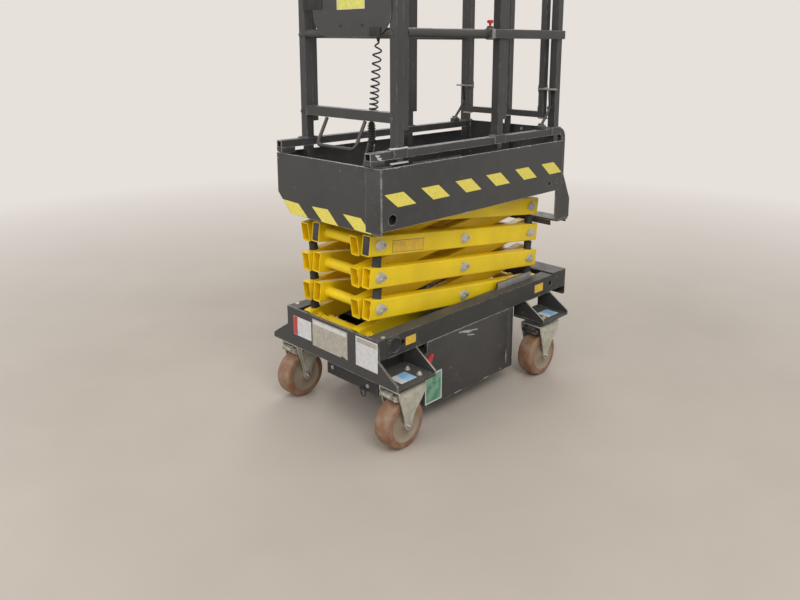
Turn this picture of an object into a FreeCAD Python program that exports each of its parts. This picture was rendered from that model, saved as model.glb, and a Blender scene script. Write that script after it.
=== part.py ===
import FreeCAD, Part
import math
import os
import Sketcher

# A compact push-around scissor lift: a castored chassis, four levels of crossed arms
# and a guarded platform. Millimetres and degrees. +X is the end with the control plate,
# +Y the long side with the isolator, +Z up, and the ground lies at z = 0.

V = FreeCAD.Vector
os.makedirs("parts", exist_ok=True)
doc = FreeCAD.newDocument("scissor_lift")
sheet = doc.addObject("Spreadsheet::Sheet", "dims")

# Driving sizes: name, value, meaning
SIZES = [
    # castors
    ("wheel_radius", 100, "castor wheel radius"),
    ("wheel_width", 78, "castor wheel width"),
    ("castor_trail", 40, "kingpin to axle"),
    ("kingpin_front_inset", 120, "chassis front to the front kingpins"),
    ("kingpin_rear_inset", 229, "chassis rear to the rear kingpins"),
    ("kingpin_out", 30, "kingpins outside the side rails"),
    ("castor_height", 268, "ground to the top of the castor plate"),
    ("castor_axle_radius", 8, "castor axle"),
    ("fork_thick", 6, "castor fork plate"),
    ("fork_gap", 10, "wheel side to fork leg"),
    ("race_gap", 0.3, "clearance in a swivel race"),
    ("castor_plate_long", 110, "castor plate length"),
    ("castor_plate_wide", 90, "castor plate width"),
    ("castor_plate_thick", 8, "castor plate thickness"),
    ("race_radius", 38, "swivel race radius"),
    ("race_tall", 10, "swivel race height"),
    ("crown_thick", 8, "castor fork crown"),
    ("crown_away", 54, "crown on the side away from the axle"),
    ("crown_toward", 92, "crown on the axle's side"),
    ("leg_edge_away", 22, "fork leg edge away from the axle"),
    ("leg_edge_toward", 14, "fork leg edge on the axle's side"),
    ("fork_foot_radius", 15, "fork foot round the axle"),
    ("waist_rise", 56, "waist of a fork leg above the axle"),
    ("waist_away", 38, "waist of a leg on the side away from the brake"),
    ("waist_toward", 31, "waist of a leg on the brake's side"),
    ("axle_past", 5, "castor axle past the fork"),
    ("brake_set", 12, "kingpin to the brake's block past the axle"),
    ("brake_long", 50, "brake block length"),
    ("brake_tall", 24, "brake block height"),
    ("brake_gap", 6, "brake block to the wheel"),
    ("brake_side_gap", 8, "brake block inside the legs"),
    ("brake_pin_radius", 5, "brake pin"),
    ("tyre_round", 6, "tyre shoulder"),
    ("tyre_thick", 27, "tyre to the dished centre"),
    ("dish_deep", 12, "depth of the wheel's dish"),
    ("hub_radius", 22, "wheel hub radius"),
    ("hub_proud", 2, "hub past the tyre"),
    # chassis
    ("front_room", 80, "front pivots to the front face of the chassis"),
    ("rear_room", 198, "rear pivots to the rear face of the chassis"),
    ("rail_room", 10, "arms to the flanges of the side rails"),
    ("rail_depth", 63, "side rail flange width"),
    ("rail_tall", 80, "side rail height"),
    ("rail_wall", 6, "side rail wall"),
    ("plate_thick", 8, "front plate thickness"),
    ("wing_past", 102, "castor wings past the side rails"),
    ("bracket_thick", 8, "castor bracket plate"),
    ("gusset_thick", 6, "castor bracket gusset"),
    ("bracket_long", 200, "castor bracket length"),
    ("wing_edge", 14, "upright edge of a wing tip"),
    ("tie_hole_radius", 12, "tie-down hole"),
    ("tie_hole_inset", 130, "tie-down hole from the end of the chassis"),
    ("rear_wall_tall", 120, "rear wall height"),
    ("rear_cover_long", 110, "rear cover length"),
    ("rear_foot_long", 18, "folded foot of the rear wall"),
    ("guard_long", 255, "bar on top of a side rail"),
    ("guard_thick", 8, "thickness of the bar"),
    ("guard_tall", 32, "height of the bar"),
    ("guard_inset", 11, "bar from the rail's inner edge"),
    ("guard_back", 30, "rear end of the bar in front of the rear pivots"),
    # battery and pump boxes
    ("battery_front_inset", 272, "chassis front to the battery box"),
    ("battery_rear_inset", 415, "chassis rear to the battery box"),
    ("battery_top", 292, "top of the battery box"),
    ("battery_bottom", 70, "bottom of the battery box"),
    ("battery_side_inset", 4, "battery box inside the side rails"),
    ("hanger_thick", 12, "side plate that hangs the battery box"),
    ("pump_front_inset", 112, "chassis front to the pump box"),
    ("pump_side_inset", 117, "pump box inside the battery box"),
    ("pump_bottom", 136, "bottom of the pump box"),
    # scissor
    ("arm_reach", 990, "distance between an arm's end pivots"),
    ("fold_angle", 7.28, "slope of the stowed arms"),
    ("front_pivot", 537, "x of the front pivots"),
    ("low_pivot", 397, "height of the lowest pivots"),
    ("arm_tall", 80, "arm height"),
    ("arm_wide", 45, "arm width"),
    ("arm_wall", 4, "arm wall"),
    ("arm_over", 47, "arm past its end pivot"),
    ("arm_top_over", 24, "arm past a pivot under the deck"),
    ("stack_half", 205, "half width over the arms"),
    ("arm_gap", 22, "gap between neighbouring arms"),
    ("pin_radius", 14, "pivot pin"),
    ("pin_proud", 4, "pin past the outer arm"),
    ("spacer_radius", 21, "spacer tube on a pivot pin"),
    ("pivot_play", 0.3, "clearance round a pin"),
    ("roller_radius", 33.5, "roller in a side channel"),
    ("roller_wide", 46, "roller width"),
    ("track_gap", 10, "pin ends to the web of a track"),
    ("stop_radius", 19, "rubber stop between stacked arms"),
    ("stop_gap", 5, "rubber stop to the arm above it"),
    ("block_long", 60, "pivot block in a side channel"),
    # lift cylinder
    ("barrel_pin_back", 294, "front pivots back to the barrel pin"),
    ("barrel_pin_z", 338, "barrel pin height"),
    ("barrel_radius", 35, "barrel outside radius"),
    ("barrel_bore", 28, "barrel bore radius"),
    ("rod_shown", 66, "rod between the gland and its eye when stowed"),
    ("base_eye_radius", 28, "eye at the foot of the barrel"),
    ("eye_slack", 1, "side play of the barrel's eye"),
    ("neck_half", 24, "half width of the barrel's neck"),
    ("neck_long", 50, "barrel pin to the neck's end"),
    ("shell_start", 40, "barrel pin to the shell"),
    ("cap_thick", 20, "end cap of the barrel"),
    ("gland_long", 40, "gland length"),
    ("piston_long", 30, "piston length"),
    ("rod_radius", 20, "piston rod radius"),
    ("rod_play", 0.05, "running clearance of the rod and the piston"),
    ("rod_inside", 300, "rod inside the barrel when stowed"),
    ("eye_play", 13, "room in the rod's eye round the spacer it lifts"),
    ("eye_wall", 12, "wall of the rod's eye"),
    ("eye_wide", 44, "width of the rod's eye"),
    ("barrel_pin_radius", 12, "barrel pin radius"),
    ("lug_thick", 10, "cylinder lug thickness"),
    ("lug_half", 26, "half height of the cylinder lugs"),
    ("lug_reach", 42, "barrel pin to the cross member"),
    ("barrel_pin_past", 6, "barrel pin past the lugs"),
    ("lug_inner", 38, "inner face of the cylinder lugs"),
    ("mount_long", 50, "cylinder cross member length"),
    ("mount_tall", 24, "cylinder cross member height"),
    # platform
    ("platform_lead", 5, "platform past the chassis front"),
    ("platform_rear_inset", 115, "chassis rear to the platform's rear"),
    ("channel_inset", 20, "platform channels from the platform's ends"),
    ("platform_past", 28, "platform past the side rails"),
    ("deck_lift", 52, "top pivots to the underside of the deck"),
    ("deck_thick", 5, "deck plate"),
    ("toe_tall", 129, "skirt above the deck"),
    ("skirt_drop", 98, "side skirt below the deck"),
    ("front_drop", 114, "front skirt below the deck"),
    ("skirt_wall", 4, "skirt plate"),
    ("corner_cut", 82, "cut at the lower far corner of the front skirt"),
    ("skirt_hole_radius", 20, "large hole in the side skirt"),
    ("skirt_pin_radius", 9, "small hole in the side skirt"),
    ("skirt_hole_inset", 56, "large hole from the platform's front"),
    ("skirt_pin_inset", 98, "small hole from the platform's rear"),
    ("skirt_hole_drop", 60, "side holes below the deck"),
    ("slot_wide", 8, "upright slot in the side skirt"),
    ("slot_tall", 24, "height of the slot"),
    ("slot_inset", 36, "slot from the platform's rear"),
    ("slot_drop", 67, "slot's foot below the deck"),
    # guard rails
    ("base_rail", 30, "base rail tube"),
    ("base_rail_wall", 3, "base rail wall"),
    ("base_rail_gap", 24, "skirt top to the base rail"),
    ("base_rail_lead", 21, "base rails past the platform's front"),
    ("base_rail_tail", 62, "base rails past the platform's rear"),
    ("tail_drop", 60, "foot of the rear legs below the deck"),
    ("tail_foot_tall", 45, "height of the rear legs' feet"),
    ("base_rail_inset", 31, "platform side to the base rails"),
    ("bend_radius", 50, "outer radius of the base rail's rear bend"),
    ("post_wide", 35, "guard post tube"),
    ("post_inset", 29, "platform side to the guard posts"),
    ("front_post_inset", 142, "front posts' rear face from the platform's front"),
    ("mid_post_inset", 421, "middle posts' rear face from the platform's rear"),
    ("rear_post_inset", 3, "rear posts' rear face from the platform's rear"),
    ("slim_wide", 28, "second tube behind a post"),
    ("slim_lift", 70, "second tube above the base rail"),
    ("foot_thick", 5, "post foot plate"),
    ("foot_past", 18, "post foot plate past its post"),
    ("top_rail_lift", 1100, "top rail above the deck"),
    ("tube_radius", 19, "round guard rail"),
    ("top_bend", 40, "bend radius of the top rail"),
    ("low_rail_lift", 278, "lower front rail above the deck"),
    ("mid_rail_lift", 598, "middle rails above the deck"),
    ("flat_tall", 37, "flat middle rail height"),
    ("flat_thick", 14, "flat middle rail thickness"),
    ("flat_past_rear", 26, "flat middle rail past the rear posts"),
    ("flat_past_mid", 50, "flat middle rail past the middle posts"),
    ("slim_set", 3, "slim tubes outside the posts' inner face"),
    ("seat_gap", 0.3, "play between a round rail and a face"),
    ("board_gap", 4, "rear toe board inside the base rails"),
    # gates
    ("gate_tube", 28, "gate tube"),
    ("gate_set", 30, "gate plane in front of the rear posts' rear face"),
    ("gate_gap", 8, "gate leaf to the centreline"),
    ("gate_post_gap", 12, "gate leaf to its post"),
    ("gate_low", 230, "gate foot above the deck"),
    ("gate_high", 1040, "gate top above the deck"),
    ("hinge_radius", 6, "gate hinge pin"),
    ("hinge_deep", 25, "hinge pin inside the stile"),
    ("hinge_plate", 6, "gate hinge plate"),
    ("hinge_half", 12, "half length of the gate hinge plates"),
    # controls
    ("panel_low", 582, "control plate foot above the deck"),
    ("panel_high", 1000, "control plate top above the deck"),
    ("panel_over", 12, "control plate over the near guard post"),
    ("panel_far_gap", 62, "control plate inside the far guard post"),
    ("panel_thick", 4, "control plate thickness"),
    ("panel_round", 95, "lower corner radius of the control plate"),
    ("box_deep", 90, "control box depth"),
    ("box_wide", 170, "control box width"),
    ("box_tall", 190, "control box height"),
    ("box_low", 760, "control box above the deck"),
    ("socket_y", 128, "cord socket, y"),
    ("socket_wide", 46, "cord socket width"),
    ("socket_tall", 40, "cord socket height"),
    ("socket_deep", 38, "cord socket depth"),
    ("cord_coil_radius", 17, "curly cord over its coil"),
    ("cord_gap", 4, "cord to the rails it hangs behind"),
    ("cord_end_gap", 2.9, "level end of the leaning cord to its socket"),
    ("gland_y", 84, "cord gland, y"),
    ("gland_low", 192, "cord gland foot above the deck"),
    ("gland_tall", 74, "cord gland height"),
    ("gland_radius", 12, "cord gland radius"),
    ("conduit_radius", 10, "conduit from the gland to the deck"),
    ("conduit_foot_y", 28, "conduit foot, y"),
    ("conduit_foot_wall", 3, "conduit foot round the conduit"),
    # hoop below the lower front rail
    ("hoop_radius", 7, "hoop bar radius"),
    ("hoop_half", 111, "half width between the hoop's legs"),
    ("hoop_side", -10, "hoop centre, y"),
    ("hoop_long", 120, "hoop leg length"),
    ("hoop_lean", 28, "hoop's lean to the front"),
    ("hoop_set", 8, "hoop's top in front of the low rail's middle"),
    ("hoop_bend", 22, "bend radius at the hoop's corners"),
    # step
    ("step_out", 79, "step side plate behind the platform"),
    ("step_in", 38, "step side plate under the platform"),
    ("step_drop", 242, "step foot below the deck"),
    ("step_thick", 5, "step plate"),
    ("step_head", 25, "step side's top below the deck"),
    ("step_lean", 63, "step side's top in front of its rear edge"),
    ("step_shoulder", 153, "step side's rear corner below the deck"),
    ("tread_thick", 9, "tread"),
    ("tread_in", 18, "tread under the platform"),
    ("tread_inset", 8, "tread from the step's rear edge"),
]
NAMES = [row[0] for row in SIZES]


class Size:
    """A number together with the formula that ties it to the sheet."""

    def __init__(self, number, formula):
        self.number = number
        self.formula = formula

    def __add__(self, other):
        return joined(self, "+", other)

    def __radd__(self, other):
        return joined(other, "+", self)

    def __sub__(self, other):
        return joined(self, "-", other)

    def __rsub__(self, other):
        return joined(other, "-", self)

    def __mul__(self, other):
        return joined(self, "*", other)

    def __rmul__(self, other):
        return joined(other, "*", self)

    def __truediv__(self, other):
        return joined(self, "/", other)

    def __neg__(self):
        return joined(0, "-", self)


def sized(value):
    """Take a plain number as a size."""
    if isinstance(value, Size):
        return value
    return Size(float(value), "(%s)" % float(value))


def joined(left, sign, right):
    """Combine two sizes, as a number and as a formula."""
    left = sized(left)
    right = sized(right)
    results = {
        "+": lambda a, b: a + b,
        "-": lambda a, b: a - b,
        "*": lambda a, b: a * b,
        "/": lambda a, b: a / b,
    }
    formula = "(%s %s %s)" % (left.formula, sign, right.formula)
    return Size(results[sign](left.number, right.number), formula)


def cosine(angle):
    return Size(math.cos(math.radians(angle.number)), "cos(%s)" % angle.formula)


def sine(angle):
    return Size(math.sin(math.radians(angle.number)), "sin(%s)" % angle.formula)


class Sheet:
    """The driving sizes by name."""


dim = Sheet()
for row, (name, value, meaning) in enumerate(SIZES, start=1):
    sheet.set("A%d" % row, meaning)
    sheet.set("B%d" % row, str(value))
    sheet.setAlias("B%d" % row, name)
    setattr(dim, name, Size(float(value), "dims." + name))
doc.recompute()

# Building blocks: every one is bound to the sheet
made = {}


def fresh(kind, name):
    """Add an object under a name that no other object has."""
    count = made.get(name, 0)
    made[name] = count + 1
    return doc.addObject(kind, "%s_%d" % (name, count))


def bind(item, prop, size):
    item.setExpression(prop, sized(size).formula)


def place(item, x, y, z):
    for letter, size in zip("xyz", (x, y, z)):
        bind(item, "Placement.Base." + letter, size)


def box(x, y, z, name="block"):
    """A block between low and high values along each axis."""
    item = fresh("Part::Box", name)
    bind(item, "Length", x[1] - x[0])
    bind(item, "Width", y[1] - y[0])
    bind(item, "Height", z[1] - z[0])
    place(item, x[0], y[0], z[0])
    return item


def rod(axis, centre, ends, radius, name="round"):
    """A cylinder along an axis; centre gives the two other coordinates in order."""
    item = fresh("Part::Cylinder", name)
    bind(item, "Radius", radius)
    bind(item, "Height", ends[1] - ends[0])
    if axis == "X":
        item.Placement = FreeCAD.Placement(V(0, 0, 0), FreeCAD.Rotation(V(0, 1, 0), 90))
        place(item, ends[0], centre[0], centre[1])
    elif axis == "Y":
        item.Placement = FreeCAD.Placement(V(0, 0, 0), FreeCAD.Rotation(V(1, 0, 0), -90))
        place(item, centre[0], ends[0], centre[1])
    else:
        place(item, centre[0], centre[1], ends[0])
    return item


def fuse(items, name="joined"):
    if len(items) == 1:
        return items[0]
    item = fresh("Part::MultiFuse", name)
    item.Shapes = items
    return item


def cut(base, tools, name="trimmed"):
    item = fresh("Part::Cut", name)
    item.Base = base
    item.Tool = fuse(tools, "tools")
    return item


def group(items, name="set"):
    item = fresh("Part::Compound", name)
    item.Links = items
    return item


def outline(plane, corners, ends, name="plate"):
    """A plate padded from a closed outline: YZ plates lie along X, XZ along Y, XY along Z."""
    body = fresh("PartDesign::Body", name)
    sketch = body.newObject("Sketcher::SketchObject", body.Name + "_outline")
    for origin in body.Origin.OriginFeatures:
        if origin.Role == plane + "_Plane":
            sketch.AttachmentSupport = [(origin, "")]
    sketch.MapMode = "FlatFace"
    points = [(sized(u), sized(v)) for u, v in corners]
    count = len(points)
    for index in range(count):
        first = points[index]
        last = points[(index + 1) % count]
        start = V(first[0].number, first[1].number, 0)
        end = V(last[0].number, last[1].number, 0)
        sketch.addGeometry(Part.LineSegment(start, end), False)
    for index in range(count):
        following = (index + 1) % count
        sketch.addConstraint(Sketcher.Constraint("Coincident", index, 2, following, 1))
    for index, (u, v) in enumerate(points):
        for kind, size in (("DistanceX", u), ("DistanceY", v)):
            number = sketch.addConstraint(
                Sketcher.Constraint(kind, -1, 1, index, 1, size.number))
            label = "corner_%d_%s" % (index, kind[-1].lower())
            sketch.renameConstraint(number, label)
            sketch.setExpression("Constraints." + label, size.formula)
    pad = body.newObject("PartDesign::Pad", body.Name + "_pad")
    pad.Profile = sketch
    bind(pad, "Length", ends[1] - ends[0])
    body.Tip = pad
    if plane == "YZ":
        place(body, ends[0], 0, 0)
    elif plane == "XZ":
        place(body, 0, ends[1], 0)
    else:
        place(body, 0, 0, ends[0])
    return body


def corner_ring(axis, centre, ends, outer, inner, turn, name="bend"):
    """A quarter ring about an axis, turned to its quadrant."""
    pieces = []
    for radius in (outer, inner):
        piece = fresh("Part::Cylinder", name)
        bind(piece, "Radius", radius)
        bind(piece, "Height", ends[1] - ends[0])
        piece.Angle = 90
        if axis == "Y":
            lay = FreeCAD.Rotation(V(1, 0, 0), -90)
        elif axis == "X":
            lay = FreeCAD.Rotation(V(0, 1, 0), 90)
        else:
            lay = FreeCAD.Rotation()
        spin = FreeCAD.Rotation(V(0, 0, 1), turn)
        piece.Placement = FreeCAD.Placement(V(0, 0, 0), lay.multiply(spin))
        if axis == "Y":
            place(piece, centre[0], ends[0], centre[1])
        elif axis == "X":
            place(piece, ends[0], centre[0], centre[1])
        else:
            place(piece, centre[0], centre[1], ends[0])
        pieces.append(piece)
    return cut(pieces[0], [pieces[1]])


def flank(side, low, high):
    """A range on the +Y side, or its mirror on the far side."""
    if side > 0:
        return (low, high)
    return (-high, -low)


nodes = []


def node(item, label):
    item.Label = label
    nodes.append(item)
    return item


BOTH = (1, -1)

# Heights and stations that several pieces share
span = dim.arm_reach * cosine(dim.fold_angle)
rise = dim.arm_reach * sine(dim.fold_angle)
rear_pivot = dim.front_pivot - span
mid_pivot = dim.front_pivot - span / 2
chassis_front = dim.front_pivot + dim.front_room
chassis_rear = rear_pivot - dim.rear_room
platform_front = chassis_front + dim.platform_lead
platform_rear = chassis_rear + dim.platform_rear_inset
top_pivot = dim.low_pivot + 4 * rise
rail_top = dim.low_pivot + dim.rail_tall / 2
rail_bottom = dim.low_pivot - dim.rail_tall / 2
rail_inner = dim.stack_half + dim.rail_room
chassis_half = rail_inner + dim.rail_depth
wing_half = chassis_half + dim.wing_past
kingpin_side = chassis_half + dim.kingpin_out
battery_half = chassis_half - dim.battery_side_inset
platform_half = chassis_half + dim.platform_past
base_rail_inner = platform_half - dim.base_rail_inset - dim.base_rail
post_inner = platform_half - dim.post_inset - dim.post_wide
channel_half = dim.rail_tall / 2 - dim.rail_wall
deck_under = top_pivot + dim.deck_lift
deck_top = deck_under + dim.deck_thick
skirt_top = deck_top + dim.toe_tall
bracket_low = dim.castor_height
bracket_top = bracket_low + dim.bracket_thick
front_inside = chassis_front - dim.plate_thick
rear_inside = chassis_rear + dim.gusset_thick


# Chassis: two open channels with the rollers' tracks and the front pivot blocks
def channel(x, side, height, tall):
    """A C rail open to the inside, centred on a height."""
    y = flank(side, rail_inner, chassis_half)
    hollow_y = flank(side, rail_inner - 1, chassis_half - dim.rail_wall)
    outer = box(x, y, (height - tall / 2, height + tall / 2), "rail")
    hollow = box((x[0] - 1, x[1] + 1), hollow_y,
                 (height - channel_half, height + channel_half), "rail_hollow")
    return outer, hollow


def pivot_block(side, height):
    """The block in a channel that holds the end of a front pivot pin."""
    y = flank(side, rail_inner, chassis_half - dim.rail_wall)
    half = dim.block_long / 2
    block = box((dim.front_pivot - half, dim.front_pivot + half), y,
                (height - channel_half, height + channel_half), "pivot_block")
    bore = rod("Y", (dim.front_pivot, height), (y[0] - 1, y[1] + 1),
               dim.pin_radius + dim.pivot_play, "pivot_bore")
    return cut(block, [bore])


chassis_rails = []
for side in BOTH:
    outer, hollow = channel((rear_inside, front_inside), side, dim.low_pivot, dim.rail_tall)
    holes = [hollow]
    web = flank(side, chassis_half - dim.rail_wall - 1, chassis_half + 1)
    for hole_x in (chassis_front - dim.tie_hole_inset, chassis_rear + dim.tie_hole_inset):
        holes.append(rod("Y", (hole_x, dim.low_pivot), web, dim.tie_hole_radius, "tie_hole"))
    guard_end = rear_pivot + dim.guard_back
    guard = box((guard_end, guard_end + dim.guard_long),
                flank(side, rail_inner + dim.guard_inset, rail_inner + dim.guard_inset + dim.guard_thick),
                (rail_top, rail_top + dim.guard_tall), "guard")
    chassis_rails.append(fuse([cut(outer, holes), pivot_block(side, dim.low_pivot), guard]))
node(group(chassis_rails), "chassis_rails")

wing_top = bracket_top + dim.wing_edge
front_corners = [
    (-wing_half, bracket_low), (wing_half, bracket_low), (wing_half, wing_top),
    (chassis_half, rail_bottom), (chassis_half, rail_top),
    (-chassis_half, rail_top), (-chassis_half, rail_bottom), (-wing_half, wing_top),
]
node(outline("YZ", front_corners, (front_inside, chassis_front)), "front_plate")

cover_top = rail_top + dim.rail_wall
rear_wall = box((chassis_rear, rear_inside), (-chassis_half, chassis_half),
                (rail_top - dim.rear_wall_tall, cover_top))
rear_cover = box((chassis_rear, chassis_rear + dim.rear_cover_long),
                 (-chassis_half, chassis_half), (rail_top, cover_top))
rear_foot = box((chassis_rear, chassis_rear + dim.rear_foot_long),
                (-chassis_half, chassis_half),
                (rail_top - dim.rear_wall_tall, rail_top - dim.rear_wall_tall + dim.gusset_thick))
node(fuse([rear_wall, rear_cover, rear_foot]), "rear_wall")


def gusset(x, side):
    """An upright plate from the side rail down to the tip of a castor bracket."""
    tip = side * wing_half
    rail = side * chassis_half
    inside = side * rail_inner
    corners = [(inside, bracket_top), (tip, bracket_top), (tip, wing_top),
               (rail, rail_bottom), (inside, rail_bottom)]
    return outline("YZ", corners, (x, x + dim.gusset_thick), "gusset")


kingpin_front = chassis_front - dim.kingpin_front_inset
kingpin_rear = chassis_rear + dim.kingpin_rear_inset
bracket_plates = []
gussets = []
for side in BOTH:
    y = flank(side, rail_inner, wing_half)
    start = front_inside - dim.bracket_long
    bracket_plates.append(box((start, front_inside), y, (bracket_low, bracket_top), "bracket"))
    gussets.append(gusset(start, side))
    start = kingpin_rear - dim.bracket_long / 2
    bracket_plates.append(box((start, start + dim.bracket_long), y, (bracket_low, bracket_top), "bracket"))
    gussets.append(gusset(start, side))
    gussets.append(gusset(start + dim.bracket_long - dim.gusset_thick, side))
node(group(bracket_plates), "castor_brackets")
node(group(gussets), "castor_gussets")

# Castors: name, kingpin x, side
CASTORS = [
    ("front_near", kingpin_front, 1),
    ("front_far", kingpin_front, -1),
    ("rear_near", kingpin_rear, 1),
    ("rear_far", kingpin_rear, -1),
]
race_top = dim.castor_height - dim.castor_plate_thick
race_low = race_top - dim.race_tall
crown_top = race_low - dim.race_gap
crown_low = crown_top - dim.crown_thick
leg_out = dim.wheel_width / 2 + dim.fork_gap + dim.fork_thick
leg_in = dim.wheel_width / 2 + dim.fork_gap

tops = []
for name, x, side in CASTORS:
    y = side * kingpin_side
    plate = box((x - dim.castor_plate_long / 2, x + dim.castor_plate_long / 2),
                (y - dim.castor_plate_wide / 2, y + dim.castor_plate_wide / 2),
                (race_top, dim.castor_height), "castor_top")
    race = rod("Z", (x, y), (race_low, race_top), dim.race_radius, "race")
    tops.append(fuse([plate, race]))
node(group(tops), "castor_tops")


def fork(x, y):
    """A castor fork: a crown under the race and two legs that narrow to the axle."""
    axle = (x + dim.castor_trail, dim.wheel_radius)
    crown_x = (x - dim.crown_away, x + dim.crown_toward)
    crown = box(crown_x, (y - leg_out, y + leg_out), (crown_low, crown_top), "crown")
    pieces = [crown]
    for side in BOTH:
        corners = [(crown_x[0], crown_low), (crown_x[0], crown_low - dim.leg_edge_away),
                   (axle[0] - dim.waist_away, axle[1] + dim.waist_rise),
                   (axle[0] - dim.fork_foot_radius, axle[1]),
                   (axle[0] + dim.fork_foot_radius, axle[1]),
                   (axle[0] + dim.waist_toward, axle[1] + dim.waist_rise),
                   (crown_x[1], crown_low - dim.leg_edge_toward), (crown_x[1], crown_low)]
        reach = flank(side, leg_in, leg_out)
        ends = (y + reach[0], y + reach[1])
        pieces.append(outline("XZ", corners, ends, "fork_leg"))
        pieces.append(rod("Y", axle, ends, dim.fork_foot_radius, "fork_foot"))
    axle_half = leg_out + dim.axle_past
    pieces.append(rod("Y", axle, (y - axle_half, y + axle_half), dim.castor_axle_radius, "axle"))
    brake_x = (axle[0] + dim.brake_set, axle[0] + dim.brake_set + dim.brake_long)
    brake_low = axle[1] + dim.wheel_radius + dim.brake_gap
    brake_half = leg_in - dim.brake_side_gap
    brake_z = (brake_low, brake_low + dim.brake_tall)
    pieces.append(box(brake_x, (y - brake_half, y + brake_half), brake_z, "brake"))
    pieces.append(rod("Y", (brake_x[0] + dim.brake_tall / 2, brake_low + dim.brake_tall / 2),
                      (y - leg_in - dim.fork_thick / 2, y + leg_in + dim.fork_thick / 2),
                      dim.brake_pin_radius, "brake_pin"))
    return fuse(pieces, "fork")


def wheel(x, y):
    """A polyurethane tyre bonded to a dished centre."""
    axle = (x + dim.castor_trail, dim.wheel_radius)
    half = dim.wheel_width / 2
    tread_half = half - dim.tyre_round
    tread = rod("Y", axle, (y - tread_half, y + tread_half), dim.wheel_radius, "tread")
    flanks = rod("Y", axle, (y - half, y + half), dim.wheel_radius - dim.tyre_round, "tyre")
    dish_radius = dim.wheel_radius - dim.tyre_thick
    dishes = [
        rod("Y", axle, (y - half - 1, y - half + dim.dish_deep), dish_radius, "dish"),
        rod("Y", axle, (y + half - dim.dish_deep, y + half + 1), dish_radius, "dish"),
    ]
    hub_half = half + dim.hub_proud
    hub = rod("Y", axle, (y - hub_half, y + hub_half), dim.hub_radius, "hub")
    bore = rod("Y", axle, (y - hub_half - 1, y + hub_half + 1),
               dim.castor_axle_radius + dim.rod_play, "wheel_bore")
    return cut(fuse([cut(fuse([tread, flanks]), dishes), hub]), [bore])


for name, x, side in CASTORS:
    y = side * kingpin_side
    node(fork(x, y), "fork_" + name)
    node(wheel(x, y), "wheel_" + name)

# Battery box hung from the rails by side plates, and the narrower pump box before it
battery_x = (chassis_rear + dim.battery_rear_inset, chassis_front - dim.battery_front_inset)
battery = box(battery_x, (-battery_half, battery_half),
              (dim.battery_bottom, dim.battery_top), "battery")
hangers = []
for side in BOTH:
    y = flank(side, battery_half - dim.hanger_thick, battery_half)
    hangers.append(box(battery_x, y, (dim.battery_top, rail_bottom), "hanger"))
node(battery, "battery_box")
node(group(hangers), "box_hangers")
pump_half = battery_half - dim.pump_side_inset
pump = box((battery_x[1], chassis_front - dim.pump_front_inset), (-pump_half, pump_half),
           (dim.pump_bottom, dim.battery_top), "pump")
node(pump, "pump_box")

# Cross member and lugs that carry the lift cylinder's base
barrel_pin_x = dim.front_pivot - dim.barrel_pin_back
mount_x = (barrel_pin_x + dim.lug_reach, barrel_pin_x + dim.lug_reach + dim.mount_long)
mount_half = battery_half - dim.hanger_thick
beam = box(mount_x, (-mount_half, mount_half), (rail_bottom - dim.mount_tall, rail_bottom), "beam")
mount = [beam]
for side in BOTH:
    y = flank(side, dim.lug_inner, dim.lug_inner + dim.lug_thick)
    mount.append(box((barrel_pin_x - dim.lug_half, mount_x[0]), y,
                     (dim.barrel_pin_z - dim.lug_half, dim.barrel_pin_z + dim.lug_half), "lug"))
barrel_pin_half = dim.lug_inner + dim.lug_thick + dim.barrel_pin_past
mount.append(rod("Y", (barrel_pin_x, dim.barrel_pin_z), (-barrel_pin_half, barrel_pin_half),
                 dim.barrel_pin_radius, "barrel_pin"))
node(fuse(mount), "cylinder_mount")

# Scissor arms. A rising frame slopes up to the front, with its near arm outside and its
# far arm inside; a falling frame is its mirror. Each is drawn about its middle pivot.
half_reach = dim.arm_reach / 2
outer_arm = (dim.stack_half - dim.arm_wide, dim.stack_half)
inner_arm = (dim.stack_half - 2 * dim.arm_wide - dim.arm_gap,
             dim.stack_half - dim.arm_wide - dim.arm_gap)
clear_half = inner_arm[0]


def arm(y, rear_over, front_over):
    """A hollow arm along X with three pivot bores."""
    low = -half_reach - rear_over
    high = half_reach + front_over
    half = dim.arm_tall / 2
    wall = dim.arm_wall
    outside = box((low, high), y, (-half, half), "arm")
    tools = [box((low - 1, high + 1), (y[0] + wall, y[1] - wall), (wall - half, half - wall), "arm_hollow")]
    for x in (-half_reach, sized(0), half_reach):
        tools.append(rod("Y", (x, sized(0)), (y[0] - 1, y[1] + 1),
                         dim.pin_radius + dim.pivot_play, "arm_bore"))
    return cut(outside, tools)


def stop(x, y):
    """A rubber stop on top of an arm, short of the arm stacked above it."""
    foot = dim.arm_tall / 2
    tall = rise * cosine(dim.fold_angle) - dim.arm_tall - dim.stop_gap
    return rod("Z", (x, (y[0] + y[1]) / 2), (foot, foot + tall), dim.stop_radius, "stop")


def pinned(x, near, far, spaced=True, rollers=False):
    """A pivot pin across the stack, with its spacer tube and, at the tracks, its rollers."""
    pieces = [rod("Y", (x, sized(0)), (-far, near), dim.pin_radius, "pin")]
    if spaced:
        half = clear_half - dim.seat_gap
        pieces.append(rod("Y", (x, sized(0)), (-half, half), dim.spacer_radius, "spacer"))
    if rollers:
        for side in BOTH:
            y = flank(side, near - dim.roller_wide, near)
            pieces.append(rod("Y", (x, sized(0)), y, dim.roller_radius, "roller"))
    return fuse(pieces, "pins")


def stub(x, side):
    """A short pin through one pair of neighbouring arms, clear of the lift cylinder."""
    y = flank(side, inner_arm[0] - dim.pin_proud, dim.stack_half + dim.pin_proud)
    return rod("Y", (x, sized(0)), y, dim.pin_radius, "stub")


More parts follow.
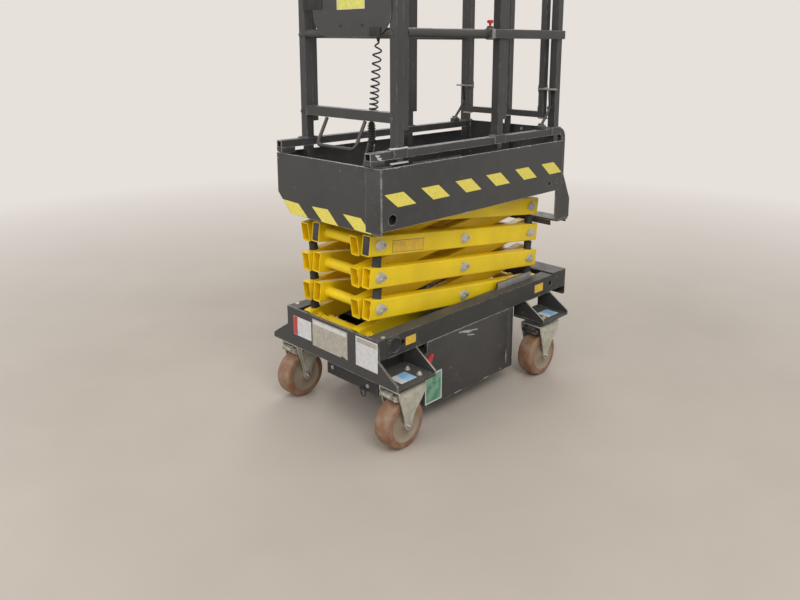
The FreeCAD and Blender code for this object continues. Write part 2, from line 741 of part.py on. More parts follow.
pin_end = dim.stack_half + dim.pin_proud
track_end = chassis_half - dim.rail_wall - dim.track_gap
for level in range(4):
    middle_z = dim.low_pivot + (level + 0.5) * rise
    for kind, slope in (("rising", -1), ("falling", 1)):
        flip = 1 if kind == "rising" else -1
        overs = [dim.arm_over, dim.arm_over]
        if level == 3:
            overs[1 if kind == "rising" else 0] = dim.arm_top_over
        outside = flank(flip, outer_arm[0], outer_arm[1])
        frame = [arm(outside, overs[0], overs[1]),
                 arm(flank(-flip, inner_arm[0], inner_arm[1]), overs[0], overs[1])]
        if level < 3:
            frame += [stop(-half_reach, outside), stop(half_reach, outside)]
        arms = group(frame)
        if kind == "rising":
            front_end = half_reach
            rear_end = -half_reach
            if level == 0:
                pins = [stub(sized(0), 1), stub(sized(0), -1)]
                pins.append(pinned(rear_end, track_end, track_end, rollers=True))
            else:
                pins = [pinned(sized(0), pin_end, pin_end)]
            if level == 3:
                pins.append(pinned(front_end, track_end, track_end))
            else:
                pins.append(pinned(front_end, pin_end, pin_end))
        else:
            front_end = half_reach
            rear_end = -half_reach
            pins = []
            if level == 0:
                pins.append(pinned(front_end, track_end, track_end))
            if level == 3:
                pins.append(pinned(rear_end, track_end, track_end, rollers=True))
            else:
                pins.append(pinned(rear_end, pin_end, pin_end))
        pins = group(pins) if len(pins) > 1 else fuse([group(pins)])
        for item, label in ((arms, "arms"), (pins, "pins")):
            lean = FreeCAD.Rotation(V(0, slope, 0), 10)
            item.Placement = FreeCAD.Placement(V(0, 0, 0), lean)
            bind(item, "Placement.Rotation.Angle", dim.fold_angle)
            place(item, mid_pivot, sized(0), middle_z)
            node(item, "%s_%s_%d" % (kind, label, level + 1))

# Lift cylinder, drawn along X from the barrel's pin and leaned to reach the first rear pivot
lean_x = rear_pivot - barrel_pin_x
lean_z = dim.low_pivot + rise - dim.barrel_pin_z
stowed = Size(math.hypot(lean_x.number, lean_z.number),
              "sqrt(%s ^ 2 + %s ^ 2)" % (lean_x.formula, lean_z.formula))
lean_angle = Size(math.degrees(math.atan2(-lean_z.number, -lean_x.number)),
                  "atan(%s / %s)" % (lean_z.formula, lean_x.formula))
half_turn = Size(180, "180 deg")
eye_inner = dim.spacer_radius + dim.eye_play
eye_outer = eye_inner + dim.eye_wall
barrel_long = stowed - eye_outer - dim.rod_shown
base_half = dim.lug_inner - dim.eye_slack
neck_side = (-dim.neck_half, dim.neck_half)
base_eye = rod("Y", (sized(0), sized(0)), (-base_half, base_half), dim.base_eye_radius, "base_eye")
neck = box((dim.barrel_pin_radius, dim.neck_long), neck_side, neck_side, "neck")
shell = rod("X", (sized(0), sized(0)), (dim.shell_start, barrel_long), dim.barrel_radius, "shell")
bore = rod("X", (sized(0), sized(0)), (dim.shell_start + dim.cap_thick, barrel_long - dim.gland_long),
           dim.barrel_bore, "bore")
gland = rod("X", (sized(0), sized(0)), (barrel_long - dim.gland_long - 1, barrel_long + 1),
            dim.rod_radius + dim.rod_play, "gland_bore")
pin_bore = rod("Y", (sized(0), sized(0)), (-dim.lug_inner, dim.lug_inner),
               dim.barrel_pin_radius + dim.pivot_play, "pin_bore")
barrel = cut(fuse([base_eye, neck, shell]), [bore, gland, pin_bore])

tail = barrel_long - dim.rod_inside
shaft = rod("X", (sized(0), sized(0)), (tail, stowed - eye_inner - dim.eye_wall / 2),
            dim.rod_radius, "shaft")
piston = rod("X", (sized(0), sized(0)), (tail, tail + dim.piston_long),
             dim.barrel_bore - dim.rod_play, "piston")
eye_y = (-dim.eye_wide / 2, dim.eye_wide / 2)
eye = rod("Y", (stowed, sized(0)), eye_y, eye_outer, "eye")
eye_hole = rod("Y", (stowed, sized(0)), (eye_y[0] - 1, eye_y[1] + 1), eye_inner, "eye_hole")
piston_rod = cut(fuse([shaft, piston, eye]), [eye_hole])
for item, label in ((barrel, "cylinder_barrel"), (piston_rod, "cylinder_rod")):
    turned = FreeCAD.Rotation(V(0, 1, 0), 180 + 15)
    item.Placement = FreeCAD.Placement(V(0, 0, 0), turned)
    bind(item, "Placement.Rotation.Angle", half_turn - lean_angle)
    place(item, barrel_pin_x, sized(0), dim.barrel_pin_z)
    node(item, label)

# Platform: deck, channels, skirts and step
skirt_in = platform_half - dim.skirt_wall
deck_x = (platform_rear, platform_front - dim.skirt_wall)
node(box(deck_x, (-skirt_in, skirt_in), (deck_under, deck_top), "deck"), "deck")

channel_x = (platform_rear + dim.channel_inset, platform_front - dim.channel_inset)
platform_channels = []
for side in BOTH:
    outer, hollow = channel(channel_x, side, top_pivot, dim.rail_tall)
    y = flank(side, rail_inner, chassis_half)
    bearer = box(channel_x, y, (top_pivot + dim.rail_tall / 2, deck_under), "bearer")
    platform_channels.append(fuse([cut(outer, [hollow]), bearer, pivot_block(side, top_pivot)]))
node(group(platform_channels), "platform_channels")

skirt_low = deck_top - dim.skirt_drop
front_low = deck_top - dim.front_drop
face = platform_front
back = face - dim.skirt_wall
side_skirts = []
for side in BOTH:
    y = flank(side, skirt_in, platform_half)
    corners = [(platform_rear, skirt_low), (back, skirt_low), (back, skirt_top), (platform_rear, skirt_top)]
    if side < 0:
        slant = front_low + dim.corner_cut
        corners[1:2] = [(back - dim.corner_cut, skirt_low), (back, slant)]
    through = (y[0] - 1, y[1] + 1)
    hole_z = deck_top - dim.skirt_hole_drop
    holes = []
    if side > 0:
        holes.append(rod("Y", (platform_front - dim.skirt_hole_inset, hole_z), through,
                         dim.skirt_hole_radius, "skirt_hole"))
    holes.append(rod("Y", (platform_rear + dim.skirt_pin_inset, hole_z), through,
                     dim.skirt_pin_radius, "skirt_pin"))
    slot_x = platform_rear + dim.slot_inset
    slot_z = deck_top - dim.slot_drop
    holes.append(box((slot_x, slot_x + dim.slot_wide), through, (slot_z, slot_z + dim.slot_tall), "slot"))
    side_skirts.append(cut(outline("XZ", corners, y, "side_skirt"), holes))
node(group(side_skirts), "side_skirts")

front_corners = [
    (-platform_half, skirt_top), (-platform_half, front_low + dim.corner_cut),
    (dim.corner_cut - platform_half, front_low), (platform_half, front_low),
    (platform_half, skirt_top),
]
node(outline("YZ", front_corners, (back, face)), "front_skirt")

step_x = (platform_rear - dim.step_out, platform_rear + dim.step_in)
step_low = deck_top - dim.step_drop
step_head = deck_top - dim.step_head
edge_x = (platform_rear - dim.step_thick, platform_rear)
step_sides = []
for side in BOTH:
    y = flank(side, skirt_in - dim.step_thick, skirt_in)
    corners = [
        (edge_x[0], step_head), (step_x[0] + dim.step_lean, step_head),
        (step_x[0], deck_top - dim.step_shoulder), (step_x[0], step_low), (step_x[1], step_low),
        (step_x[1], skirt_low), (edge_x[0], skirt_low),
    ]
    step_sides.append(outline("XZ", corners, y, "step_side"))
node(group(step_sides), "step_sides")
node(box((step_x[0] + dim.tread_inset, platform_rear + dim.tread_in), (-skirt_in, skirt_in),
         (step_low - dim.tread_thick, step_low), "tread"), "step_tread")
base_low = skirt_top + dim.base_rail_gap
base_top = base_low + dim.base_rail
board_half = base_rail_inner - dim.board_gap
toe_board = box(edge_x, (-board_half, board_half), (deck_top, base_top), "toe_board")
rear_edge = box(edge_x, (-skirt_in, skirt_in), (skirt_low, deck_top), "rear_edge")
node(fuse([rear_edge, toe_board]), "rear_edge")

# Guard rails
base_y = (base_rail_inner, base_rail_inner + dim.base_rail)
tail_x = platform_rear - dim.base_rail_tail
bend_x = tail_x + dim.bend_radius
front_post = platform_front - dim.front_post_inset
mid_post = platform_rear + dim.mid_post_inset
rear_post = platform_rear + dim.rear_post_inset
bases = []
all_legs = []
for side in BOTH:
    y = flank(side, base_y[0], base_y[1])
    wall = dim.base_rail_wall
    nose = platform_front + dim.base_rail_lead
    run = box((bend_x, nose), y, (base_low, base_top), "base_rail")
    hollow = box((bend_x + dim.bend_radius, nose + 1), (y[0] + wall, y[1] - wall),
                 (base_low + wall, base_top - wall), "base_hollow")
    bend_z = base_top - dim.bend_radius
    bend = corner_ring("Y", (bend_x, bend_z), y, dim.bend_radius, dim.bend_radius - dim.base_rail, 180)
    tail_low = deck_top - dim.tail_drop
    leg = box((tail_x, tail_x + dim.base_rail), y, (tail_low, bend_z), "rear_leg")
    leg_foot = box((tail_x + dim.base_rail, edge_x[0]), y,
                   (tail_low, tail_low + dim.tail_foot_tall), "leg_foot")
    legs = [fuse([leg, leg_foot])]
    for x in (front_post, mid_post, rear_post):
        legs.append(box((x, x + dim.base_rail), y, (deck_top, base_low), "leg"))
    bases.append(fuse([cut(run, [hollow]), bend]))
    all_legs += legs
node(group(bases), "base_rails")
node(group(all_legs), "rail_legs")

# Posts: name, rear face x, whether a second tube stands behind it
POSTS = [
    ("front", front_post, True),
    ("middle", mid_post, True),
    ("rear", rear_post, False),
]
post_y = (post_inner, post_inner + dim.post_wide)
guard_top = deck_top + dim.top_rail_lift
rail_centre = guard_top - dim.tube_radius
post_low = base_top + dim.foot_thick
posts = []
feet = []
for name, x, doubled in POSTS:
    for side in BOTH:
        y = flank(side, post_y[0], post_y[1])
        posts.append(box((x, x + dim.post_wide), y, (post_low, guard_top - 2 * dim.tube_radius), "post"))
        foot_x = (x - dim.foot_past, x + dim.post_wide + dim.foot_past)
        plate = box(foot_x, flank(side, base_y[0], base_y[1] + dim.foot_thick), (base_top, post_low), "foot")
        cheek = box(foot_x, flank(side, base_y[1], base_y[1] + dim.foot_thick), (base_low, post_low), "cheek")
        feet.append(fuse([plate, cheek]))
        if doubled:
            slim = flank(side, post_y[0] + dim.slim_set, post_y[0] + dim.slim_set + dim.slim_wide)
            posts.append(box((x - dim.slim_wide, x), slim,
                             (base_top + dim.slim_lift, guard_top - 2 * dim.tube_radius), "slim"))
node(group(posts), "guard_posts")
node(group(feet), "post_feet")

top_cross_x = front_post + dim.post_wide / 2
corner_x = top_cross_x - dim.top_bend
rail_y = post_inner + dim.post_wide / 2
corner_y = rail_y - dim.top_bend
round_rails = [rod("Y", (top_cross_x, rail_centre), (-corner_y, corner_y), dim.tube_radius, "top_cross")]
for side in BOTH:
    round_rails.append(rod("X", (side * rail_y, rail_centre), (rear_post, corner_x),
                           dim.tube_radius, "top_rail"))
    corner = fresh("Part::Torus", "top_corner")
    bind(corner, "Radius1", dim.top_bend)
    bind(corner, "Radius2", dim.tube_radius)
    corner.Angle3 = 90
    quarter = 0 if side > 0 else -90
    corner.Placement = FreeCAD.Placement(V(0, 0, 0), FreeCAD.Rotation(V(0, 0, 1), quarter))
    place(corner, corner_x, side * corner_y, rail_centre)
    round_rails.append(corner)
node(fuse(round_rails), "top_rail")

mid_z = deck_top + dim.mid_rail_lift
low_z = deck_top + dim.low_rail_lift
low_rail = box((front_post, front_post + dim.post_wide), (-post_y[0], post_y[0]),
               (low_z, low_z + 2 * dim.tube_radius), "low_rail")
mid_cross = rod("Y", (top_cross_x, mid_z), (-post_y[0], post_y[0]), dim.tube_radius - 2, "mid_cross")
node(group([low_rail, mid_cross]), "front_rails")

side_rails = []
for side in BOTH:
    y = side * (post_inner + dim.post_wide / 2)
    side_rails.append(rod("X", (y, mid_z), (mid_post + dim.post_wide, front_post - dim.slim_wide),
                          dim.tube_radius - 2, "mid_rail"))
    flat = flank(side, post_y[1], post_y[1] + dim.flat_thick)
    flat_x = (rear_post - dim.flat_past_rear, mid_post + dim.post_wide + dim.flat_past_mid)
    side_rails.append(box(flat_x, flat, (mid_z - dim.flat_tall / 2, mid_z + dim.flat_tall / 2), "flat_rail"))
node(group(side_rails), "side_rails")

# Gates: two leaves that swing in from the rear posts
gate_x = (rear_post + dim.gate_set, rear_post + dim.gate_set + dim.gate_tube)
gate_z = (deck_top + dim.gate_low, deck_top + dim.gate_high)
hinge_x = gate_x[0] + dim.gate_tube / 2
hinges = []
for name, side in (("near", 1), ("far", -1)):
    hang = post_inner - dim.gate_post_gap
    bars = []
    for start in (dim.gate_gap, hang - dim.gate_tube):
        bars.append(box(gate_x, flank(side, start, start + dim.gate_tube), gate_z, "stile"))
    inner = flank(side, dim.gate_gap + dim.gate_tube, hang - dim.gate_tube)
    middle = deck_top + dim.mid_rail_lift - dim.gate_tube / 2
    for foot in (gate_z[0], middle, gate_z[1] - dim.gate_tube):
        bars.append(box(gate_x, inner, (foot, foot + dim.gate_tube), "bar"))
    frame = fuse(bars)
    pivot_y = side * (hang - dim.gate_tube / 2)
    bores = []
    for end, turn in ((gate_z[0], 1), (gate_z[1], -1)):
        pin = flank(turn, sized(0), dim.hinge_deep)
        bores.append(rod("Z", (hinge_x, pivot_y), (end + pin[0] - 1, end + pin[1] + 1),
                         dim.hinge_radius + dim.rod_play, "hinge_bore"))
        plate = flank(turn, -dim.hinge_plate - dim.seat_gap, -dim.seat_gap)
        lug = box((hinge_x - dim.hinge_half, hinge_x + dim.hinge_half),
                  flank(side, hang - dim.gate_tube, post_inner),
                  (end + plate[0], end + plate[1]), "hinge_lug")
        stem = flank(turn, -dim.hinge_plate, dim.hinge_deep - 1)
        hinges.append(fuse([lug, rod("Z", (hinge_x, pivot_y), (end + stem[0], end + stem[1]),
                                     dim.hinge_radius, "hinge_pin")]))
    node(cut(frame, bores), "gate_" + name)
node(group(hinges), "gate_hinges")

# Control plate, box and cord
panel_x = (front_post + dim.post_wide, front_post + dim.post_wide + dim.panel_thick)
panel_z = (deck_top + dim.panel_low, deck_top + dim.panel_high)
panel_y = (dim.panel_far_gap - post_inner, post_inner + dim.panel_over)
round_z = panel_z[0] + dim.panel_round
panel = box(panel_x, panel_y, (round_z, panel_z[1]), "panel")
foot_y = (panel_y[0] + dim.panel_round, panel_y[1] - dim.panel_round)
panel_foot = box(panel_x, foot_y, (panel_z[0], round_z), "panel_foot")
corners = []
for y in foot_y:
    corners.append(rod("X", (y, round_z), panel_x, dim.panel_round, "panel_corner"))
node(fuse([panel, panel_foot] + corners), "control_plate")

control_x = (panel_x[0] - dim.box_deep, panel_x[0])
node(box(control_x, (-dim.box_wide / 2, dim.box_wide / 2),
         (deck_top + dim.box_low, deck_top + dim.box_low + dim.box_tall), "control"), "control_box")

# The cord hangs behind the middle and lower front rails
cord_x = front_post - dim.cord_gap - dim.cord_coil_radius
socket_x = (cord_x - dim.socket_deep / 2, top_cross_x - dim.tube_radius + 2 - dim.seat_gap)
socket_z = (mid_z - dim.socket_tall / 2, mid_z + dim.socket_tall / 2)
gland_z = (deck_top + dim.gland_low, deck_top + dim.gland_low + dim.gland_tall)
node(box(socket_x, (dim.socket_y - dim.socket_wide / 2, dim.socket_y + dim.socket_wide / 2),
         socket_z, "socket"), "cord_socket")


def leaning(start, end, radius, name):
    """A cylinder in a plane across the platform, from a low point (y, z) to a high one."""
    run_y = end[0] - start[0]
    run_z = end[1] - start[1]
    item = fresh("Part::Cylinder", name)
    bind(item, "Radius", radius)
    bind(item, "Height", Size(math.hypot(run_y.number, run_z.number),
                              "sqrt(%s ^ 2 + %s ^ 2)" % (run_y.formula, run_z.formula)))
    item.Placement = FreeCAD.Placement(V(0, 0, 0), FreeCAD.Rotation(V(-1, 0, 0), 10))
    bind(item, "Placement.Rotation.Angle", Size(0, "atan(%s / %s)" % (run_y.formula, run_z.formula)))
    place(item, cord_x, start[0], start[1])
    return item


gland_body = rod("Z", (cord_x, dim.gland_y), gland_z, dim.gland_radius, "gland")
conduit = leaning((dim.conduit_foot_y, deck_top + dim.conduit_radius),
                  (dim.gland_y, gland_z[0] + dim.conduit_radius / 2), dim.conduit_radius, "conduit")
foot_radius = dim.conduit_radius + dim.conduit_foot_wall
foot = rod("Z", (cord_x, dim.conduit_foot_y), (deck_top, deck_top + foot_radius), foot_radius, "conduit_foot")
node(fuse([gland_body, conduit, foot]), "cord_conduit")
node(leaning((dim.gland_y, gland_z[1] + dim.cord_end_gap), (dim.socket_y - 4, socket_z[0] - dim.cord_end_gap),
             dim.cord_coil_radius, "coil"), "curly_cord")

# Hoop bar under the lower front rail, drawn upright and leaned to the front
hoop_parts = []
bend = dim.hoop_bend
leg_top = -dim.seat_gap - dim.hoop_radius * sine(dim.hoop_lean) / cosine(dim.hoop_lean)
for side in BOTH:
    y = side * dim.hoop_half
    hoop_parts.append(rod("Z", (sized(0), y), (bend - dim.hoop_long, leg_top),
                          dim.hoop_radius, "hoop_leg"))
    corner = fresh("Part::Torus", "hoop_corner")
    bind(corner, "Radius1", bend)
    bind(corner, "Radius2", dim.hoop_radius)
    corner.Angle3 = 90
    quarter = 180 if side < 0 else -90
    turn = FreeCAD.Rotation(V(0, 0, 1), quarter)
    corner.Placement = FreeCAD.Placement(V(0, 0, 0), FreeCAD.Rotation(V(1, 1, 1), 120).multiply(turn))
    place(corner, sized(0), side * (dim.hoop_half - bend), bend - dim.hoop_long)
    hoop_parts.append(corner)
hoop_parts.append(rod("Y", (sized(0), -dim.hoop_long), (bend - dim.hoop_half, dim.hoop_half - bend),
                      dim.hoop_radius, "hoop_bar"))
hoop = fuse(hoop_parts)
hoop.Placement = FreeCAD.Placement(V(0, 0, 0), FreeCAD.Rotation(V(0, -1, 0), 10))
bind(hoop, "Placement.Rotation.Angle", dim.hoop_lean)
place(hoop, top_cross_x + dim.hoop_set, dim.hoop_side, low_z)
node(hoop, "front_hoop")

# Recompute, check every object, and write each piece
doc.recompute()
faults = []
for item in doc.Objects:
    if "Invalid" in item.State or "Error" in item.State:
        faults.append("%s is %s" % (item.Name, item.State))
for item in nodes:
    if item.Shape.isNull() or not item.Shape.isValid():
        faults.append("%s has no valid shape" % item.Label)
if faults:
    raise RuntimeError("; ".join(faults))
for item in nodes:
    item.Shape.exportStep("parts/%s.step" % item.Label)
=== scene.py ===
import math
import random

import bmesh
import bpy
from mathutils import Matrix, Vector


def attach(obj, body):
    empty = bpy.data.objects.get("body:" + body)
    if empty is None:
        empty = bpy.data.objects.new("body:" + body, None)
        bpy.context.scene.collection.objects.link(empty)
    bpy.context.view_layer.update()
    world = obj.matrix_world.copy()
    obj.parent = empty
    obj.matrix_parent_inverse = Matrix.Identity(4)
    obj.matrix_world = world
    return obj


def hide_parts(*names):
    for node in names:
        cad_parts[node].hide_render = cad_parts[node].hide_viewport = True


# A compact push-around scissor lift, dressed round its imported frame. Lengths are in
# millimetres, in the frame's axes: +X the control end, +Y the near side, +Z up.

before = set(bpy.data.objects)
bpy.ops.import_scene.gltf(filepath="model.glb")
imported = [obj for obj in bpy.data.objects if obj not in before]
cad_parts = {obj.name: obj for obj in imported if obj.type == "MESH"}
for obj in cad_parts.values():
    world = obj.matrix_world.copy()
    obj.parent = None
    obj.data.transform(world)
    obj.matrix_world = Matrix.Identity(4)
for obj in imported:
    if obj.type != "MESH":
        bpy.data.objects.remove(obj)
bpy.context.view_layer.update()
random.seed(11)

MM = 0.001
SIDES = (("near", 1), ("far", -1))

# Sizes that the pieces share with the frame
ARM_REACH = 990.0
ARM_LEAN = math.radians(7.28)
FRONT_PIVOT = 537.0
LOW_PIVOT = 397.0
SPAN = ARM_REACH * math.cos(ARM_LEAN)
RISE = ARM_REACH * math.sin(ARM_LEAN)
REAR_PIVOT = FRONT_PIVOT - SPAN
MIDDLE = FRONT_PIVOT - SPAN / 2
TOP_PIVOT = LOW_PIVOT + 4 * RISE
DECK_TOP = TOP_PIVOT + 57
SKIRT_TOP = DECK_TOP + 129
CHASSIS_FRONT = 617.0
CHASSIS_REAR = REAR_PIVOT - 198
PLATFORM_FRONT = 622.0
PLATFORM_REAR = CHASSIS_REAR + 115
BASE_TOP = SKIRT_TOP + 54
MID_RAIL = DECK_TOP + 598
FRONT_POST = PLATFORM_FRONT - 142
MID_POST = PLATFORM_REAR + 421
REAR_POST = PLATFORM_REAR + 3
GUARD_TOP = DECK_TOP + 1100
CASTORS = (
    ("front_near", CHASSIS_FRONT - 120, 1),
    ("front_far", CHASSIS_FRONT - 120, -1),
    ("rear_near", CHASSIS_REAR + 229, 1),
    ("rear_far", CHASSIS_REAR + 229, -1),
)


# Camera and light
camera = bpy.data.objects.new("camera", bpy.data.cameras.new("camera"))
bpy.context.scene.collection.objects.link(camera)
camera.location = (2.34674, 2.12254, 1.50859)
look = Vector((-0.69300, -0.69050, -0.20727))
camera.rotation_mode = "QUATERNION"
camera.rotation_quaternion = look.to_track_quat("-Z", "Y")
camera.data.sensor_width = 36
camera.data.lens = 32.854
camera.data.shift_x = -0.0012
camera.data.shift_y = -0.125
bpy.context.scene.camera = camera
bpy.context.scene.view_settings.view_transform = "Standard"


# Shader helpers
def add(tree, kind, settings=None, **inputs):
    """Add a shader node; inputs are values or sockets, by name or as in0, in1."""
    item = tree.nodes.new("ShaderNode" + kind)
    for key, value in (settings or {}).items():
        setattr(item, key, value)
    for key, value in inputs.items():
        index = int(key[2:]) if key.startswith("in") and key[2:].isdigit() else key.replace("_", " ")
        socket = item.inputs[index]
        if isinstance(value, bpy.types.NodeSocket):
            tree.links.new(value, socket)
        else:
            socket.default_value = value
    return item


def calc(tree, operation, a, b=0.0):
    return add(tree, "Math", {"operation": operation, "use_clamp": False}, in0=a, in1=b).outputs[0]


def blend(tree, amount, a, b, mode="MIX"):
    return add(tree, "MixRGB", {"blend_type": mode}, Fac=amount, Color1=a, Color2=b).outputs[0]


def ramp(tree, value, low, high, start=0.0, end=1.0):
    """Map a value between two levels onto a range, clamped."""
    item = add(tree, "MapRange", None, Value=value)
    for key, number in (("From Min", low), ("From Max", high), ("To Min", start), ("To Max", end)):
        item.inputs[key].default_value = number
    return item.outputs[0]


def noise(tree, coordinates, scale, detail=4.0, rough=0.55):
    item = add(tree, "TexNoise", None, Vector=coordinates, Scale=scale, Detail=detail, Roughness=rough)
    return item.outputs["Fac"]


def stretched(tree, coordinates, scale):
    return add(tree, "Mapping", None, Vector=coordinates, Scale=scale).outputs[0]


def grey(value):
    return (value, value, value, 1.0)


def material(name):
    item = bpy.data.materials.new(name)
    item.use_nodes = True
    tree = item.node_tree
    shader = tree.nodes["Principled BSDF"]
    coordinates = add(tree, "TexCoord").outputs["Object"]
    return item, tree, shader, coordinates


def set_bump(tree, shader, height, strength, distance):
    item = add(tree, "Bump", None, Height=height, Strength=strength, Distance=distance)
    tree.links.new(item.outputs[0], shader.inputs["Normal"])


def edge_mask(tree, radius):
    """One on sharp edges, falling to nothing a few millimetres away."""
    rounded = add(tree, "Bevel", {"samples": 4}, Radius=radius).outputs[0]
    true = add(tree, "NewGeometry").outputs["Normal"]
    dot = add(tree, "VectorMath", {"operation": "DOT_PRODUCT"}, in0=rounded, in1=true).outputs["Value"]
    return ramp(tree, dot, 0.995, 0.86)


def up_mask(tree):
    normal = add(tree, "NewGeometry").outputs["Normal"]
    height = add(tree, "SeparateXYZ", None, in0=normal).outputs["Z"]
    return ramp(tree, height, 0.35, 0.95)


def painted(name, colour, bare_and_highlight, rough=0.42, wear_and_highlight=0.5, dust=0.3, dust_colour=(0.33, 0.30, 0.26), radius=0.004):
    """Paint with tone changes, chipped edges, scratches, and dust on what faces up; edges are also paler in patches,
    partly from rubbing and partly as a painted edge highlight.
    """
    item, tree, shader, at = material(name)
    tone = noise(tree, at, 5.0, 6.0)
    fine = noise(tree, at, 160.0, 3.0)
    patch = noise(tree, at, 24.0, 8.0, 0.7)
    scratch_a = noise(tree, stretched(tree, at, (9.0, 9.0, 260.0)), 1.0, 2.0)
    scratch_b = noise(tree, stretched(tree, at, (240.0, 12.0, 14.0)), 1.0, 2.0)
    lines = calc(tree, "MAXIMUM", ramp(tree, scratch_a, 0.70, 0.78), ramp(tree, scratch_b, 0.70, 0.78))
    lines = calc(tree, "MULTIPLY", lines, ramp(tree, patch, 0.52, 0.66))
    base = blend(tree, ramp(tree, tone, 0.3, 0.7), tuple(c * 0.86 for c in colour) + (1.0,),
                 tuple(min(1.0, c * 1.13) for c in colour) + (1.0,))
    edge = edge_mask(tree, radius)
    chips = calc(tree, "MULTIPLY", edge, ramp(tree, patch, 0.60 - wear_and_highlight * 0.22, 0.68 - wear_and_highlight * 0.12))
    chips = calc(tree, "MAXIMUM", chips, calc(tree, "MULTIPLY", lines, wear_and_highlight))
    specks = ramp(tree, noise(tree, at, 55.0, 2.0), 0.735, 0.755, 0.0, wear_and_highlight * 0.8)
    chips = calc(tree, "MAXIMUM", chips, calc(tree, "MULTIPLY", specks, ramp(tree, patch, 0.50, 0.56)))
    # Paler along the edges in patches: rubbed paint in part, and in part a painted edge highlight.
    rubbed_and_highlit = calc(tree, "MULTIPLY", edge, ramp(tree, patch, 0.40, 0.60, 0.06 * wear_and_highlight, 0.34 * wear_and_highlight))
    worn_and_highlit = blend(tree, rubbed_and_highlit, base, tuple(bare_and_highlight) + (1.0,))
    worn_and_highlit = blend(tree, chips, worn_and_highlit, tuple(bare_and_highlight) + (1.0,))
    dirt = calc(tree, "MULTIPLY", up_mask(tree), ramp(tree, tone, 0.25, 0.75, 0.35, 1.0))
    dirt = calc(tree, "MULTIPLY", dirt, dust)
    grime = calc(tree, "MULTIPLY", ramp(tree, patch, 0.50, 0.80), dust * 0.45)
    dirt = calc(tree, "MAXIMUM", dirt, grime)
    tree.links.new(blend(tree, dirt, worn_and_highlit, tuple(dust_colour) + (1.0,)), shader.inputs["Base Color"])
    gloss = ramp(tree, patch, 0.3, 0.7, rough - 0.08, rough + 0.16)
    tree.links.new(calc(tree, "ADD", gloss, calc(tree, "MULTIPLY", dirt, 0.3)), shader.inputs["Roughness"])
    relief = calc(tree, "ADD", calc(tree, "MULTIPLY", fine, 0.3), calc(tree, "MULTIPLY", lines, -0.6))
    relief = calc(tree, "SUBTRACT", relief, calc(tree, "MULTIPLY", chips, 0.5))
    set_bump(tree, shader, relief, 0.25, 0.0006)
    return item


def metal(name, colour, rust, rough=0.34, brushed=(6.0, 6.0, 300.0), rusty=0.25, metallic=0.85):
    """Bare or plated metal with a brushed grain, dull patches, a little rust, and a painted highlight along every edge.
    """
    item, tree, shader, at = material(name)
    grain = noise(tree, stretched(tree, at, brushed), 1.0, 3.0)
    patch = noise(tree, at, 30.0, 8.0, 0.65)
    tone = blend(tree, ramp(tree, patch, 0.3, 0.7), tuple(c * 0.72 for c in colour) + (1.0,),
                 tuple(min(1.0, c * 1.15) for c in colour) + (1.0,))
    spots = calc(tree, "MULTIPLY", ramp(tree, patch, 0.60, 0.74), rusty)
    # Paler along every edge: a painted edge highlight.
    edge = calc(tree, "MULTIPLY", edge_mask(tree, 0.003), 0.35)
    tone = blend(tree, edge, tone, tuple(min(1.0, c * 1.5) for c in colour) + (1.0,))
    tree.links.new(blend(tree, spots, tone, tuple(rust) + (1.0,)), shader.inputs["Base Color"])
    shader.inputs["Metallic"].default_value = metallic
    gloss = ramp(tree, grain, 0.2, 0.8, rough - 0.08, rough + 0.16)
    tree.links.new(calc(tree, "ADD", gloss, calc(tree, "MULTIPLY", spots, 0.5)), shader.inputs["Roughness"])
    set_bump(tree, shader, calc(tree, "ADD", grain, calc(tree, "MULTIPLY", patch, 0.6)), 0.12, 0.0004)
    return item


def moulded(name, colour, rough=0.5, speck=0.3, grain=420.0, worn_and_highlit=(0.25, 0.24, 0.22), edge=0.2):
    """Moulded plastic or rubber with a fine grain, and edges paler partly from rubbing and partly as a painted edge
    highlight.
    """
    item, tree, shader, at = material(name)
    fine = noise(tree, at, grain, 2.0)
    patch = noise(tree, at, 18.0, 7.0, 0.6)
    tone = blend(tree, ramp(tree, patch, 0.35, 0.75, 0.0, speck), tuple(colour) + (1.0,), tuple(worn_and_highlit) + (1.0,))
    # Paler along every edge: rubbed in part, and in part a painted edge highlight.
    rub_and_highlight = calc(tree, "MULTIPLY", edge_mask(tree, 0.002), edge)
    tree.links.new(blend(tree, rub_and_highlight, tone, tuple(worn_and_highlit) + (1.0,)), shader.inputs["Base Color"])
    tree.links.new(ramp(tree, patch, 0.3, 0.7, rough - 0.06, rough + 0.12), shader.inputs["Roughness"])
    set_bump(tree, shader, fine, 0.15, 0.0003)
    return item


def polyurethane():
    """Cast brown tread, paler and dustier where it has rolled, with fine pits."""
    item, tree, shader, at = material("wheel_tread")
    patch = noise(tree, at, 26.0, 8.0, 0.65)
    broad = noise(tree, at, 7.0, 3.0)
    pits = noise(tree, at, 260.0, 2.0)
    tone = blend(tree, ramp(tree, broad, 0.35, 0.65), (0.22, 0.088, 0.036, 1.0), (0.31, 0.180, 0.105, 1.0))
    tone = blend(tree, ramp(tree, patch, 0.45, 0.72, 0.0, 0.8), tone, (0.35, 0.275, 0.205, 1.0))
    tree.links.new(tone, shader.inputs["Base Color"])
    tree.links.new(ramp(tree, patch, 0.3, 0.7, 0.40, 0.72), shader.inputs["Roughness"])
    shader.inputs["Subsurface Weight"].default_value = 0.05
    set_bump(tree, shader, pits, 0.2, 0.0005)
    return item


